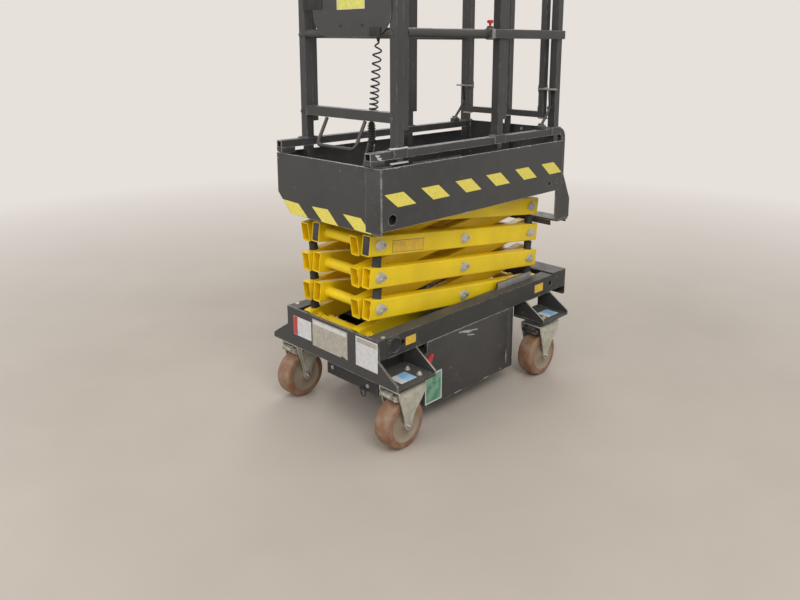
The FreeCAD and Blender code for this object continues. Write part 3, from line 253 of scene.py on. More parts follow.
def sticker(name, colour, accent=None, scale=60.0):
    """A blank printed film, a little dirty, dulled and scuffed."""
    item, tree, shader, at = material(name)
    patch = noise(tree, at, 34.0, 8.0, 0.7)
    fine = noise(tree, at, scale * 8, 2.0)
    base = tuple(colour) + (1.0,)
    if accent:
        base = blend(tree, ramp(tree, noise(tree, at, scale, 3.0), 0.42, 0.60), base, tuple(accent) + (1.0,))
    dirty = blend(tree, ramp(tree, patch, 0.50, 0.78, 0.0, 0.40), base, (0.25, 0.23, 0.20, 1.0))
    tree.links.new(dirty, shader.inputs["Base Color"])
    tree.links.new(ramp(tree, patch, 0.3, 0.7, 0.34, 0.58), shader.inputs["Roughness"])
    set_bump(tree, shader, fine, 0.10, 0.0002)
    return item


def hazard_film():
    """Lemon reflective tape: small cells, dulled patches and nicks that show the black paint."""
    item, tree, shader, at = material("hazard_yellow")
    cells = add(tree, "TexVoronoi", {"feature": "DISTANCE_TO_EDGE"}, Vector=at, Scale=150.0).outputs["Distance"]
    patch = noise(tree, at, 40.0, 8.0, 0.7)
    tone = blend(tree, ramp(tree, cells, 0.02, 0.10), (0.70, 0.58, 0.08, 1.0), (0.90, 0.78, 0.15, 1.0))
    tone = blend(tree, ramp(tree, patch, 0.66, 0.72), tone, (0.09, 0.085, 0.06, 1.0))
    tree.links.new(tone, shader.inputs["Base Color"])
    tree.links.new(ramp(tree, patch, 0.3, 0.7, 0.32, 0.5), shader.inputs["Roughness"])
    set_bump(tree, shader, cells, 0.2, 0.0003)
    return item


# The bare colours show where paint is chipped and also lighten the edges as a painted edge highlight; the black paint's
# worn variant has the most of both.
BARE_AND_HIGHLIGHT = (0.30, 0.29, 0.27)
black = painted("black_paint", (0.046, 0.0455, 0.045), BARE_AND_HIGHLIGHT, 0.34, 0.5, 0.13)
black_worn_highlit = painted("black_paint_worn_highlit", (0.049, 0.048, 0.047), (0.52, 0.51, 0.48), 0.42, 1.0, 0.20)
black_dusty = painted("black_paint_dusty", (0.036, 0.036, 0.034), BARE_AND_HIGHLIGHT, 0.50, 0.6, 0.30, (0.27, 0.255, 0.23))
yellow = painted("yellow_paint", (0.93, 0.635, 0.006), (0.50, 0.34, 0.08), 0.34, 0.22, 0.03, (0.40, 0.27, 0.06))
deck_steel = painted("deck_steel", (0.085, 0.084, 0.080), (0.45, 0.44, 0.42), 0.48, 1.0, 0.35)
steel = metal("bare_steel", (0.50, 0.49, 0.46), (0.20, 0.10, 0.05))
zinc = metal("zinc_plate", (0.62, 0.61, 0.52), (0.24, 0.17, 0.10), 0.42, (8.0, 8.0, 60.0), 0.35, 0.6)
# Near-black: black plastic on the bracket and the socket block, and painted shade inside the tie-down hole.
matt_black_and_shade = moulded("matt_plastic_and_shade", (0.011, 0.011, 0.012), 0.65, 0.15)
# Light grey steel bared by chipping; on the post foot's flanges its lightness is partly a painted highlight.
bare_steel_and_highlight = painted("bared_steel_and_highlight", (0.60, 0.59, 0.57), (0.75, 0.74, 0.72), 0.40, 0.3, 0.05)
grey_plate = metal("weathered_steel", (0.34, 0.33, 0.30), (0.24, 0.17, 0.10), 0.5, (30.0, 8.0, 60.0), 0.5, 0.3)
chrome = metal("polished_rod", (0.60, 0.60, 0.60), (0.2, 0.2, 0.2), 0.18, (3.0, 300.0, 3.0), 0.05, 1.0)
tread = polyurethane()
hub_grey = moulded("wheel_centre", (0.31, 0.235, 0.16), 0.55, 0.5, 300.0, (0.36, 0.31, 0.25), 0.4)
rubber = moulded("rubber", (0.022, 0.022, 0.023), 0.6, 0.25, 500.0, (0.12, 0.115, 0.11))
plastic = moulded("black_plastic", (0.026, 0.026, 0.027), 0.45, 0.25)
grey_plastic = moulded("grey_plastic", (0.16, 0.16, 0.165), 0.5, 0.3, 420.0, (0.3, 0.3, 0.3))
red = moulded("red_plastic", (0.58, 0.030, 0.028), 0.36, 0.15, 500.0, (0.35, 0.10, 0.08))
scuff = sticker("scuffed_paint", (0.30, 0.295, 0.28), (0.50, 0.49, 0.46), 120.0)
rust_bolt = metal("rusty_bolt", (0.23, 0.16, 0.13), (0.20, 0.06, 0.03), 0.5, (30.0, 30.0, 30.0), 0.8, 0.5)
cord_black = moulded("cord_sheath", (0.030, 0.029, 0.029), 0.42, 0.2, 600.0, (0.10, 0.10, 0.10))
hazard = hazard_film()
white_label = sticker("white_label", (0.74, 0.73, 0.71), (0.66, 0.66, 0.66), 90.0)
beige_label = sticker("beige_label", (0.50, 0.47, 0.39), (0.42, 0.39, 0.32), 70.0)
red_label = sticker("red_label", (0.52, 0.06, 0.05))
green_label = sticker("green_label", (0.045, 0.26, 0.13), (0.22, 0.40, 0.29), 26.0)
blue_label = sticker("blue_label", (0.20, 0.52, 0.84), (0.42, 0.64, 0.80), 24.0)
orange_label = sticker("orange_label", (0.86, 0.56, 0.04), (0.76, 0.46, 0.05), 60.0)
yellow_label = sticker("yellow_label", (0.78, 0.74, 0.14), (0.72, 0.68, 0.16), 60.0)
ink = moulded("label_ink", (0.055, 0.045, 0.035), 0.5, 0.3)


# Mesh helpers
class Piece:
    """One visible piece: geometry gathered in millimetres, with a material for each part."""

    def __init__(self, name):
        self.name = name
        self.mesh = bmesh.new()
        self.materials = []

    def merge(self, part, look, turn=None):
        """Take a finished bmesh into the piece."""
        if look not in self.materials:
            self.materials.append(look)
        index = self.materials.index(look)
        for face in part.faces:
            face.material_index = index
        bmesh.ops.recalc_face_normals(part, faces=part.faces)
        if turn is not None:
            part.transform(turn)
        holder = bpy.data.meshes.new("part")
        part.to_mesh(holder)
        part.free()
        self.mesh.from_mesh(holder)
        bpy.data.meshes.remove(holder)

    def block(self, x, y, z, look, bevel=2.0, turn=None, segments=2):
        """A block with rounded edges, from low and high values along each axis."""
        part = bmesh.new()
        bmesh.ops.create_cube(part, size=1.0)
        size = Vector((x[1] - x[0], y[1] - y[0], z[1] - z[0]))
        centre = Vector(((x[0] + x[1]) / 2, (y[0] + y[1]) / 2, (z[0] + z[1]) / 2))
        for vertex in part.verts:
            vertex.co = Vector([vertex.co[i] * size[i] for i in range(3)]) + centre
        limit = min(bevel, min(size) * 0.45)
        if limit > 0.05:
            bmesh.ops.bevel(part, geom=part.edges[:], offset=limit, segments=segments, profile=0.5,
                            affect="EDGES", clamp_overlap=True)
        self.merge(part, look, turn)

    def prism(self, axis, corners, ends, look, bevel=1.0, turn=None):
        """An outline extruded along an axis: corners are the two other coordinates in order."""
        part = bmesh.new()
        lower = [part.verts.new(along(axis, ends[0], u, v)) for u, v in corners]
        upper = [part.verts.new(along(axis, ends[1], u, v)) for u, v in corners]
        part.faces.new(lower)
        part.faces.new(upper[::-1])
        count = len(corners)
        for i in range(count):
            j = (i + 1) % count
            part.faces.new((lower[j], lower[i], upper[i], upper[j]))
        if bevel > 0.05:
            limit = min(bevel, abs(ends[1] - ends[0]) * 0.45)
            bmesh.ops.bevel(part, geom=part.edges[:], offset=limit, segments=2, profile=0.5,
                            affect="EDGES", clamp_overlap=True)
        self.merge(part, look, turn)

    def lathe(self, axis, centre, profile, look, turn=None, count=32, phase=0.0):
        """A turned form of (distance along the axis, radius) points: solid where they start and end
        at no radius, and otherwise a ring.
        """
        part = bmesh.new()
        rings = []
        for distance, radius in profile:
            if radius < 0.01:
                rings.append([part.verts.new(along(axis, distance, centre[0], centre[1]))])
                continue
            ring = []
            for step in range(count):
                angle = phase + 2 * math.pi * step / count
                u = centre[0] + radius * math.cos(angle)
                v = centre[1] + radius * math.sin(angle)
                ring.append(part.verts.new(along(axis, distance, u, v)))
            rings.append(ring)
        if len(rings[0]) > 1:
            rings.append(rings[0])
        for first, second in zip(rings, rings[1:]):
            for i in range(count):
                j = (i + 1) % count
                corners = [first[i % len(first)], first[j % len(first)],
                           second[j % len(second)], second[i % len(second)]]
                unique = list(dict.fromkeys(corners))
                if len(unique) > 2:
                    part.faces.new(unique)
        self.merge(part, look, turn)

    def bolt(self, axis, centre, ends, radius, look, turn=None, washer=1.45):
        """A hexagon head on a washer, standing from the first end towards the second."""
        low, high = ends
        step = 1 if high > low else -1
        tall = abs(high - low)
        plate = low + step * tall * 0.25
        self.lathe(axis, centre, [(low, 0), (low, radius * washer), (plate, radius * washer),
                                  (plate, 0)], look, turn, 20)
        self.lathe(axis, centre, [(plate, 0), (plate, radius), (high - step * tall * 0.15, radius),
                                  (high, radius * 0.82), (high, 0)], look, turn, 6, 0.3)

    def tube(self, axis, low, high, look, ends, wall=3.0, round_=5.0, turn=None, closed=False):
        """A rectangular tube along an axis; low and high are its corners across the axis."""
        part = bmesh.new()
        outer = rounded(low, high, round_)
        if closed:
            loops = [(outer, ends[0]), (outer, ends[1])]
        else:
            inner = rounded((low[0] + wall, low[1] + wall), (high[0] - wall, high[1] - wall),
                            max(round_ - wall, 1.0))
            loops = [(inner, ends[1]), (inner, ends[0]), (outer, ends[0]), (outer, ends[1]), (inner, ends[1])]
        rings = []
        for corners, distance in loops:
            rings.append([part.verts.new(along(axis, distance, u, v)) for u, v in corners])
        for first, second in zip(rings, rings[1:]):
            for i in range(len(first)):
                j = (i + 1) % len(first)
                part.faces.new((first[i], first[j], second[j], second[i]))
        if closed:
            part.faces.new(rings[0])
            part.faces.new(rings[-1])
        bmesh.ops.remove_doubles(part, verts=part.verts[:], dist=0.001)
        self.merge(part, look, turn)

    def sweep(self, path, radius, look, turn=None, count=14, closed=True):
        """A round bar along a path of points."""
        part = bmesh.new()
        points = [Vector(p) for p in path]
        side = None
        rings = []
        for i, point in enumerate(points):
            ahead = points[min(i + 1, len(points) - 1)] - points[max(i - 1, 0)]
            ahead.normalize()
            if side is None:
                side = ahead.orthogonal().normalized()
            side = (side - ahead * side.dot(ahead)).normalized()
            other = ahead.cross(side)
            ring = []
            for step in range(count):
                angle = 2 * math.pi * step / count
                offset = side * math.cos(angle) + other * math.sin(angle)
                ring.append(part.verts.new(point + offset * radius))
            rings.append(ring)
        for first, second in zip(rings, rings[1:]):
            for i in range(count):
                j = (i + 1) % count
                part.faces.new((first[i], first[j], second[j], second[i]))
        if closed:
            part.faces.new(rings[0][::-1])
            part.faces.new(rings[-1])
        self.merge(part, look, turn)

    def bead(self, points, look, radius=2.0, turn=None):
        """A weld bead along a line of points."""
        path = []
        for start, end in zip(points, points[1:]):
            start, end = Vector(start), Vector(end)
            steps = max(2, int((end - start).length / 4))
            for i in range(steps):
                path.append(start.lerp(end, i / steps))
        path.append(Vector(points[-1]))
        part = bmesh.new()
        rings = []
        for i, point in enumerate(path):
            ahead = path[min(i + 1, len(path) - 1)] - path[max(i - 1, 0)]
            side = ahead.orthogonal().normalized()
            other = ahead.normalized().cross(side)
            swell = radius * (1.0 + 0.22 * (i % 2))
            rings.append([part.verts.new(point + (side * math.cos(a) + other * math.sin(a)) * swell)
                          for a in (0.0, math.pi / 3, 2 * math.pi / 3, math.pi, 4 * math.pi / 3, 5 * math.pi / 3)])
        for first, second in zip(rings, rings[1:]):
            for i in range(6):
                part.faces.new((first[i], first[(i + 1) % 6], second[(i + 1) % 6], second[i]))
        part.faces.new(rings[0][::-1])
        part.faces.new(rings[-1])
        self.merge(part, look, turn)

    def done(self, body, replaced=(), angle=38.0):
        """Turn the gathered geometry into an object that rides on a body."""
        for edge in self.mesh.edges:
            if len(edge.link_faces) == 2:
                edge.smooth = edge.calc_face_angle(0.0) < math.radians(angle)
        for face in self.mesh.faces:
            face.smooth = True
        for vertex in self.mesh.verts:
            vertex.co *= MM
        data = bpy.data.meshes.new(self.name)
        self.mesh.to_mesh(data)
        self.mesh.free()
        item = bpy.data.objects.new(self.name, data)
        bpy.context.scene.collection.objects.link(item)
        for look in self.materials:
            data.materials.append(look)
        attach(item, body)
        if replaced:
            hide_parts(*replaced)
        return item


def along(axis, distance, u, v):
    """A point from its distance along an axis and its two other coordinates in order."""
    if axis == "X":
        return Vector((distance, u, v))
    if axis == "Y":
        return Vector((u, distance, v))
    return Vector((u, v, distance))


def rounded(low, high, radius, steps=4):
    """The outline of a rectangle with round corners."""
    radius = min(radius, (high[0] - low[0]) / 2 - 0.01, (high[1] - low[1]) / 2 - 0.01)
    centres = ((high[0] - radius, high[1] - radius, 0), (low[0] + radius, high[1] - radius, 90),
               (low[0] + radius, low[1] + radius, 180), (high[0] - radius, low[1] + radius, 270))
    points = []
    for u, v, start in centres:
        for step in range(steps + 1):
            angle = math.radians(start + 90 * step / steps)
            points.append((u + radius * math.cos(angle), v + radius * math.sin(angle)))
    return points


def arc(centre, radius, start, end, steps=8):
    """Points (u, v) on an arc, with angles in degrees."""
    points = []
    for step in range(steps + 1):
        angle = math.radians(start + (end - start) * step / steps)
        points.append((centre[0] + radius * math.cos(angle), centre[1] + radius * math.sin(angle)))
    return points


def flank(side, low, high):
    return (low, high) if side > 0 else (-high, -low)


def teardrop(centre, radius, reach, tip, steps=8):
    """The outline of a round plate that narrows to a small round tip at a signed distance along u."""
    lean = math.degrees(math.acos((radius - tip) / abs(reach)))
    start = 0 if reach > 0 else 180
    return (arc(centre, radius, start + lean, start + 360 - lean, 2 * steps)
            + arc((centre[0] + reach, centre[1]), tip, start - lean, start + lean, steps))


# Curly cord from the gland at the deck up to the socket under the control plate
CORD_X = FRONT_POST - 21
GLAND_Y = 84.0
GLAND_TOP = DECK_TOP + 266
SOCKET_Y = 128.0
SOCKET_FOOT = MID_RAIL - 20
CORD_RADIUS = 3.2
COIL_RADIUS = 15.4
COIL_TURNS = 12
TURN_POINTS = 16
LEAD = 14.0
COIL_SAG = 6.0


def cord_points():
    """Control points: a short lead, turns that open out towards the top, and a short lead."""
    low = Vector((CORD_X, GLAND_Y, GLAND_TOP))
    high = Vector((CORD_X, SOCKET_Y - 4, SOCKET_FOOT))
    rise = (high - low).normalized()
    across = Vector((0, 1, 0)) - rise * rise.y
    across.normalize()
    forward = rise.cross(across)
    length = (high - low).length
    points = [low - Vector((0, 0, 6)), low + rise * LEAD * 0.3]
    count = COIL_TURNS * TURN_POINTS
    for step in range(count + 1):
        share = step / count
        risen = LEAD + (length - 2 * LEAD) * (0.50 * share + 0.50 * share * share)
        angle = 2 * math.pi * COIL_TURNS * share
        swell = COIL_RADIUS * min(1.0, 0.35 + 9 * share, 0.35 + 9 * (1 - share))
        sideways = swell * math.cos(angle) + COIL_SAG * (1 - share) * min(1.0, 6 * share)
        points.append(low + rise * risen + across * sideways + forward * swell * math.sin(angle))
    points += [high - rise * LEAD * 0.3, high + Vector((0, 0, 6))]
    return points


route = cord_points()
curve = bpy.data.curves.new("curly_cord_wire", "CURVE")
curve.dimensions = "3D"
curve.bevel_depth = CORD_RADIUS * MM
curve.bevel_resolution = 3
curve.resolution_u = 3
spline = curve.splines.new("NURBS")
spline.points.add(len(route) - 1)
for control, point in zip(spline.points, route):
    control.co = (*(point * MM), 1.0)
spline.order_u = 3
spline.use_endpoint_u = True
curve.materials.append(cord_black)
wire = bpy.data.objects.new("curly_cord_wire", curve)
bpy.context.scene.collection.objects.link(wire)
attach(wire, "platform")
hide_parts("curly_cord")

# Strain reliefs where the cord enters the gland and the socket
relief = Piece("cord_reliefs")
for y, z, turned in ((GLAND_Y, GLAND_TOP, 1), (SOCKET_Y - 4, SOCKET_FOOT, -1)):
    profile = [(z - turned * 4, 0), (z - turned * 4, 8)]
    for ring in range(5):
        top = z + turned * (ring * 2.4)
        profile += [(top, 7.6 - ring * 0.7), (top + turned * 1.4, 7.4 - ring * 0.7), (top + turned * 1.6, 6.4 - ring * 0.7)]
    profile.append((z + turned * 12.4, CORD_RADIUS + 0.2))
    profile.append((z + turned * 12.4, 0))
    relief.lathe("Z", (CORD_X, y), profile, rubber, count=20)
relief.done("platform")

# Wide ribbed sheath round the conduit and the gland that lead the cord down to the deck
RIB_PITCH = 9.0
sheath = Piece("conduit_ribs")
foot = Vector((CORD_X, 28.0, DECK_TOP + 14))
neck = Vector((CORD_X, GLAND_Y, DECK_TOP + 190))
lean = Matrix.Translation(foot) @ (neck - foot).to_track_quat("Z", "Y").to_matrix().to_4x4()
upright = Matrix.Translation((CORD_X, GLAND_Y, neck.z + 6))
for turn, core, length in ((lean, 9.6, (neck - foot).length), (upright, 11.6, GLAND_TOP - neck.z - 12)):
    for rib in range(int(length / RIB_PITCH)):
        low = rib * RIB_PITCH
        sheath.lathe("Z", (0, 0), [(low, core), (low + 1.2, 15.6), (low + 3.0, 16.5), (low + 4.8, 15.6),
                                   (low + 6.0, core)], cord_black, turn, 24)
sheath.done("platform")

# Castors: turned wheels with dished centres, pressed forks, swivel heads and brakes
WHEEL = 100.0
TRAIL = 40.0
KINGPIN_SIDE = 308.0
CASTOR_TOP = 268.0
CROWN_TOP = CASTOR_TOP - 18.3


def wheel_profile(y, points):
    """A profile mirrored about the middle of the wheel: (half width, radius) from one face in."""
    near = [(y - half, radius) for half, radius in points]
    return near + [(y + half, radius) for half, radius in reversed(points)]


for name, x, side in CASTORS:
    y = side * KINGPIN_SIDE
    axle = (x + TRAIL, WHEEL)
    wheel = Piece("wheel_" + name + "_tread")
    wheel.lathe("Y", axle, wheel_profile(y, [
        (30, 69), (36.5, 70), (39, 73), (39, 86), (38, 91.5), (34.5, 96.5), (29, 99.3), (22, 100)]), tread, count=72)
    wheel.lathe("Y", axle, wheel_profile(y, [
        (41, 8.4), (41, 15), (39.5, 18.5), (36.0, 19.5), (33.5, 22), (32.0, 27), (29.0, 36), (27.5, 48), (28.5, 58),
        (32, 65), (37, 69), (38.6, 71.2)]), hub_grey, count=56)
    for turned in (-1, 1):
        wheel.lathe("Y", axle, [(y + turned * 40.2, 8.6), (y + turned * 42, 8.8), (y + turned * 42.4, 13.5),
                                (y + turned * 40.2, 14.5)], steel, count=24)
        for spoke in range(5):
            angle = 2 * math.pi * spoke / 5 + 0.4
            spot = (axle[0] + 42 * math.cos(angle), axle[1] + 42 * math.sin(angle))
            wheel.lathe("Y", spot, [(y + turned * 26, 0), (y + turned * 29.4, 4.2), (y + turned * 30.2, 3.6),
                                    (y + turned * 30.2, 0)], hub_grey, count=14)
    wheel.done("roller_" + name, ["wheel_" + name])

    fork = Piece("fork_" + name + "_pressed")
    front = x + 92.0
    rear = x - 54.0
    for turned in (-1, 1):
        inner = y + turned * 49.3
        outer = y + turned * 55.0
        outline = [(rear, CROWN_TOP), (rear, CROWN_TOP - 20), (rear + 6, CROWN_TOP - 36), (rear + 24, 187),
                   (axle[0] - 38, 158), (axle[0] - 27, 135), (axle[0] - 19, 112)]
        outline += [(axle[0] + u, axle[1] + v) for u, v in arc((0, 0), 16.5, 170, 370, 12)]
        outline += [(axle[0] + 20, 118), (axle[0] + 24, 140), (axle[0] + 31, 164), (front - 12, 197),
                    (front - 3, 222), (front, 236), (front, CROWN_TOP)]
        fork.prism("Y", outline, (min(inner, outer), max(inner, outer)), zinc, 1.3)
        rib = [(x - 30, CROWN_TOP - 12), (x - 26, 208), (axle[0] - 22, 150), (axle[0] - 11, 124), (axle[0] + 11, 124),
               (axle[0] + 19, 150), (x + 70, 205), (x + 74, CROWN_TOP - 12)]
        fork.prism("Y", rib, sorted((outer - turned * 0.5, outer + turned * 2.2)), zinc, 1.6)
        fork.bolt("Y", axle, (outer, outer + turned * 8), 9.0, steel)
        fork.lathe("Y", axle, [(outer + turned * 7, 0), (outer + turned * 7, 6), (outer + turned * 10.5, 5.6),
                               (outer + turned * 11, 4.4), (outer + turned * 11, 0)], steel, count=20)
        fork.lathe("Y", axle, [(inner - turned * 6.0, 8.2), (inner - turned * 6.0, 13), (inner, 13), (inner, 8.2)],
                   steel, count=24)
    fork.block((rear, front), (y - 55, y + 55), (CROWN_TOP - 8, CROWN_TOP), zinc, 3.0)
    fork.lathe("Z", (x, y), [(CROWN_TOP - 1, 0), (CROWN_TOP - 1, 45), (CROWN_TOP + 3, 46.5), (CROWN_TOP + 7, 44),
                             (CROWN_TOP + 8.2, 40.5), (CROWN_TOP + 8.2, 0)], zinc, count=48)
    fork.lathe("Y", axle, [(y - 54, 0), (y - 54, 7.8), (y + 54, 7.8), (y + 54, 0)], steel, count=20)
    fork.lathe("Z", (x, y), [(CROWN_TOP - 22, 0), (CROWN_TOP - 20, 9), (CROWN_TOP - 12, 10), (CROWN_TOP - 12, 16),
                             (CROWN_TOP - 7, 16), (CROWN_TOP - 7, 0)], steel, count=24)
    brake = x + TRAIL + 12.0
    pedal = zinc if x > 0 else black
    for turned in (-1, 1):
        cheek = sorted((y + turned * 41, y + turned * 37.5))
        fork.prism("Y", [(brake, 208), (brake, 231), (brake + 34, 234), (brake + 52, 226), (brake + 52, 214),
                         (brake + 30, 205)], cheek, pedal, 0.8)
    fork.block((brake + 6, brake + 48), (y - 38, y + 38), (226, 230), pedal, 1.2)
    fork.block((brake + 34, brake + 58), (y - 24, y + 24), (224, 236), pedal, 3.0)
    fork.block((brake + 4, brake + 40), (y - 27, y + 27), (207, 216), steel, 2.0)
    for ridge in range(4):
        fork.block((brake + 37 + ridge * 5, brake + 39.4 + ridge * 5), (y - 21, y + 21), (235, 237.4), pedal, 0.6)
    fork.lathe("Y", (brake + 12, 220), [(y - 55.6, 0), (y - 55.6, 7), (y - 58, 6), (y - 58, 0)], steel, count=18)
    fork.lathe("Y", (brake + 12, 220), [(y - 55, 0), (y - 55, 5), (y + 55, 5), (y + 55, 0)], steel, count=18)
    fork.lathe("Y", (brake + 12, 220), [(y + 55.6, 0), (y + 55.6, 7), (y + 58, 6), (y + 58, 0)], steel, count=18)
    fork.done("castor_" + name, ["fork_" + name])

tops = Piece("castor_heads")
for name, x, side in CASTORS:
    y = side * KINGPIN_SIDE
    low = CASTOR_TOP - 8
    tops.block((x - 55, x + 55), (y - 45, y + 45), (low, CASTOR_TOP - 0.1), zinc, 2.5)
    tops.lathe("Z", (x, y), [(low, 0), (low, 42), (low - 3, 43.5), (low - 6, 42), (low - 9.7, 37), (low - 9.7, 0)],
               zinc, count=48)
tops.done("chassis", ["castor_tops"])

bolts = Piece("castor_bolts")
for name, x, side in CASTORS:
    for dx in (-40, 40):
        for dy in (-32, 32):
            spot = (x + dx, side * KINGPIN_SIDE + dy)
            bolts.bolt("Z", spot, (CASTOR_TOP - 8.1, CASTOR_TOP - 14), 7.5, zinc)
            if side > 0 and (dx > 0) == (x > 0):
                continue
            bolts.bolt("Z", spot, (CASTOR_TOP + 8, CASTOR_TOP + 17), 8.0, zinc)
            bolts.lathe("Z", spot, [(CASTOR_TOP + 16, 0), (CASTOR_TOP + 16, 5), (CASTOR_TOP + 21, 4.6),
                                    (CASTOR_TOP + 21, 0)], zinc, count=16)
bolts.done("chassis")

# Scissor arms: open rectangular tubes with collars, sleeves, end plugs and rubber stops
OUTER = (160.0, 205.0)
INNER = (93.0, 138.0)
ARM_HALF = 40.0
END = ARM_REACH / 2
STOP_TOP = RISE * math.cos(ARM_LEAN) - ARM_HALF - 5


def arm_place(kind, level):
    """Matrix from an arm's own frame to its stowed place."""
    lean = -ARM_LEAN if kind == "rising" else ARM_LEAN
    shift = Matrix.Translation((MIDDLE, 0, LOW_PIVOT + (level - 0.5) * RISE))
    return shift @ Matrix.Rotation(lean, 4, "Y")


def arm_ends(kind, level):
    """The ends of an arm in its own frame: shorter where it reaches under the deck."""
    over = [47.0, 47.0]
    if level == 4:
        over[1 if kind == "rising" else 0] = 24.0
    return -END - over[0], END + over[1]


for level in range(1, 5):
    for kind, flip in (("rising", 1), ("falling", -1)):
        turn = arm_place(kind, level)
        ends = arm_ends(kind, level)
        arms = Piece("%s_arms_%d_tubes" % (kind, level))
        for lane, side in ((OUTER, flip), (INNER, -flip)):
            y = flank(side, lane[0], lane[1])
            arms.tube("X", (y[0], -ARM_HALF), (y[1], ARM_HALF), yellow, ends, 4.0, 6.5, turn)
            for x in (-END, 0.0, END):
                arms.lathe("Y", (x, 0), [(y[0] + 3, 14.6), (y[0] + 3, 19), (y[1] - 3, 19), (y[1] - 3, 14.6)],
                           yellow, turn, 24)
                for face, out in ((y[1], 1), (y[0], -1)):
                    arms.lathe("Y", (x, 0), [(face - out, 14.6), (face - out, 23.5), (face + out * 1.2, 23.0),
                                             (face + out * 2.0, 20.5), (face + out * 2.0, 14.6)], yellow, turn, 28)
            plugs = []
            if (kind, level) == ("rising", 3):
                plugs = [(ends[1] - 7, ends[1] - 1)]
            elif (kind, level) == ("rising", 4):
                plugs = [(ends[0] + 1, ends[0] + 7)]
            for x in plugs:
                arms.block(x, (y[0] + 3.5, y[1] - 3.5), (3.5 - ARM_HALF, ARM_HALF - 3.5), plastic, 2.0, turn)
        if level < 4:
            y = flip * (OUTER[0] + OUTER[1]) / 2
            for x in (-END, END):
                arms.lathe("Z", (x, y), [(ARM_HALF - 0.2, 0), (ARM_HALF - 0.2, 19), (ARM_HALF + 4, 19), (ARM_HALF + 8, 17.6),
                                         (STOP_TOP - 8, 17.6), (STOP_TOP - 3, 18.6), (STOP_TOP, 15), (STOP_TOP, 6),
                                         (STOP_TOP - 5, 5), (STOP_TOP - 5, 0)], rubber, turn, 28)
        if (kind, level) == ("rising", 3):
            arms.block((250, 425), (204.9, 205.5), (-30, 18), ink, 0.0, turn)
            arms.block((251.5, 423.5), (205.0, 205.8), (-28.5, 16.5), orange_label, 0.0, turn)
        arms.done("%s_%d" % (kind, level), ["%s_arms_%d" % (kind, level)])

# Pivot pins, painted spacer tubes, keepers and rollers
PIN_END = 209.0
TRACK_END = 262.0


def pin(piece, x, low, high, turn, spaced=True, rollers=False, look=None):
    """A pin across the stack, with its spacer tubes and, at the tracks, bosses and rollers."""
    piece.lathe("Y", (x, 0), [(low, 0), (low, 11.5), (low + 2.5, 14), (high - 2.5, 14), (high, 11.5), (high, 0)],
                look or steel, turn, 28)
    if spaced:
        piece.lathe("Y", (x, 0), [(-92.6, 14), (-92.6, 25), (-88, 26), (-85, 21), (85, 21), (88, 26), (92.6, 25),
                                  (92.6, 14)], yellow, turn, 32)
    spacers = [(140.4, 157.6)]
    if high > PIN_END:
        spacers.append((207.4, 214.5))
    for side in (-1, 1):
        if low > 0 and side < 0 or high < 0 and side > 0:
            continue
        for near, far in spacers:
            piece.lathe("Y", (x, 0), [(side * near, 14), (side * near, 20), (side * far, 20), (side * far, 14)],
                        yellow, turn, 28)
    if rollers:
        for side in (-1, 1):
            start, end = sorted((side * (high - 46), side * high))
            piece.lathe("Y", (x, 0), [(start, 14), (start, 24), (start + 2, 31), (start + 4, 33.4), (end - 4, 33.4),
                                      (end - 2, 31), (end, 24), (end, 14)], grey_plastic, turn, 40)


def keeper(piece, x, side, turn, way):
    """A plated keeper on the arm's face, the pin's end with its centre hole, and the keeper's bolt."""
    face = side * 206.8
    piece.prism("Y", teardrop((x, 2), 22, way * 29, 9.5), sorted((face, face + side * 2.6)), zinc, 0.5, turn)
    piece.lathe("Y", (x, 2), [(face + side * 2.4, 0), (face + side * 2.4, 17), (face + side * 4.6, 16.4),
                              (face + side * 5.2, 15), (face + side * 5.2, 6.5), (face + side * 3.4, 5.5),
                              (face + side * 3.4, 0)], zinc, turn, 32)
    piece.bolt("Y", (x + way * 28, 4), (face + side * 2.4, face + side * 7.2), 5.0, steel, turn)


for level in range(1, 5):
    for kind in ("rising", "falling"):
        turn = arm_place(kind, level)
        pins = Piece("%s_pins_%d_turned" % (kind, level))
        kept = []
        if kind == "rising":
            kept.append((0.0, -1))
            if level == 1:
                for side in (-1, 1):
                    low, high = flank(side, 89.0, PIN_END)
                    pin(pins, 0.0, low, high, turn, spaced=False)
                pin(pins, -END, -TRACK_END, TRACK_END, turn, rollers=True)
            else:
                pin(pins, 0.0, -PIN_END, PIN_END, turn)
            if level == 4:
                pin(pins, END, -TRACK_END, TRACK_END, turn)
            else:
                pin(pins, END, -PIN_END, PIN_END, turn)
                kept.append((END, -1))
        else:
            if level == 1:
                pin(pins, END, -TRACK_END, TRACK_END, turn, look=yellow)
            if level == 4:
                pin(pins, -END, -TRACK_END, TRACK_END, turn, rollers=True)
            else:
                pin(pins, -END, -PIN_END, PIN_END, turn)
                kept.append((-END, 1))
        for x, way in kept:
            for side in (-1, 1):
                keeper(pins, x, side, turn, way)
        pins.done("%s_%d" % (kind, level), ["%s_pins_%d" % (kind, level)])

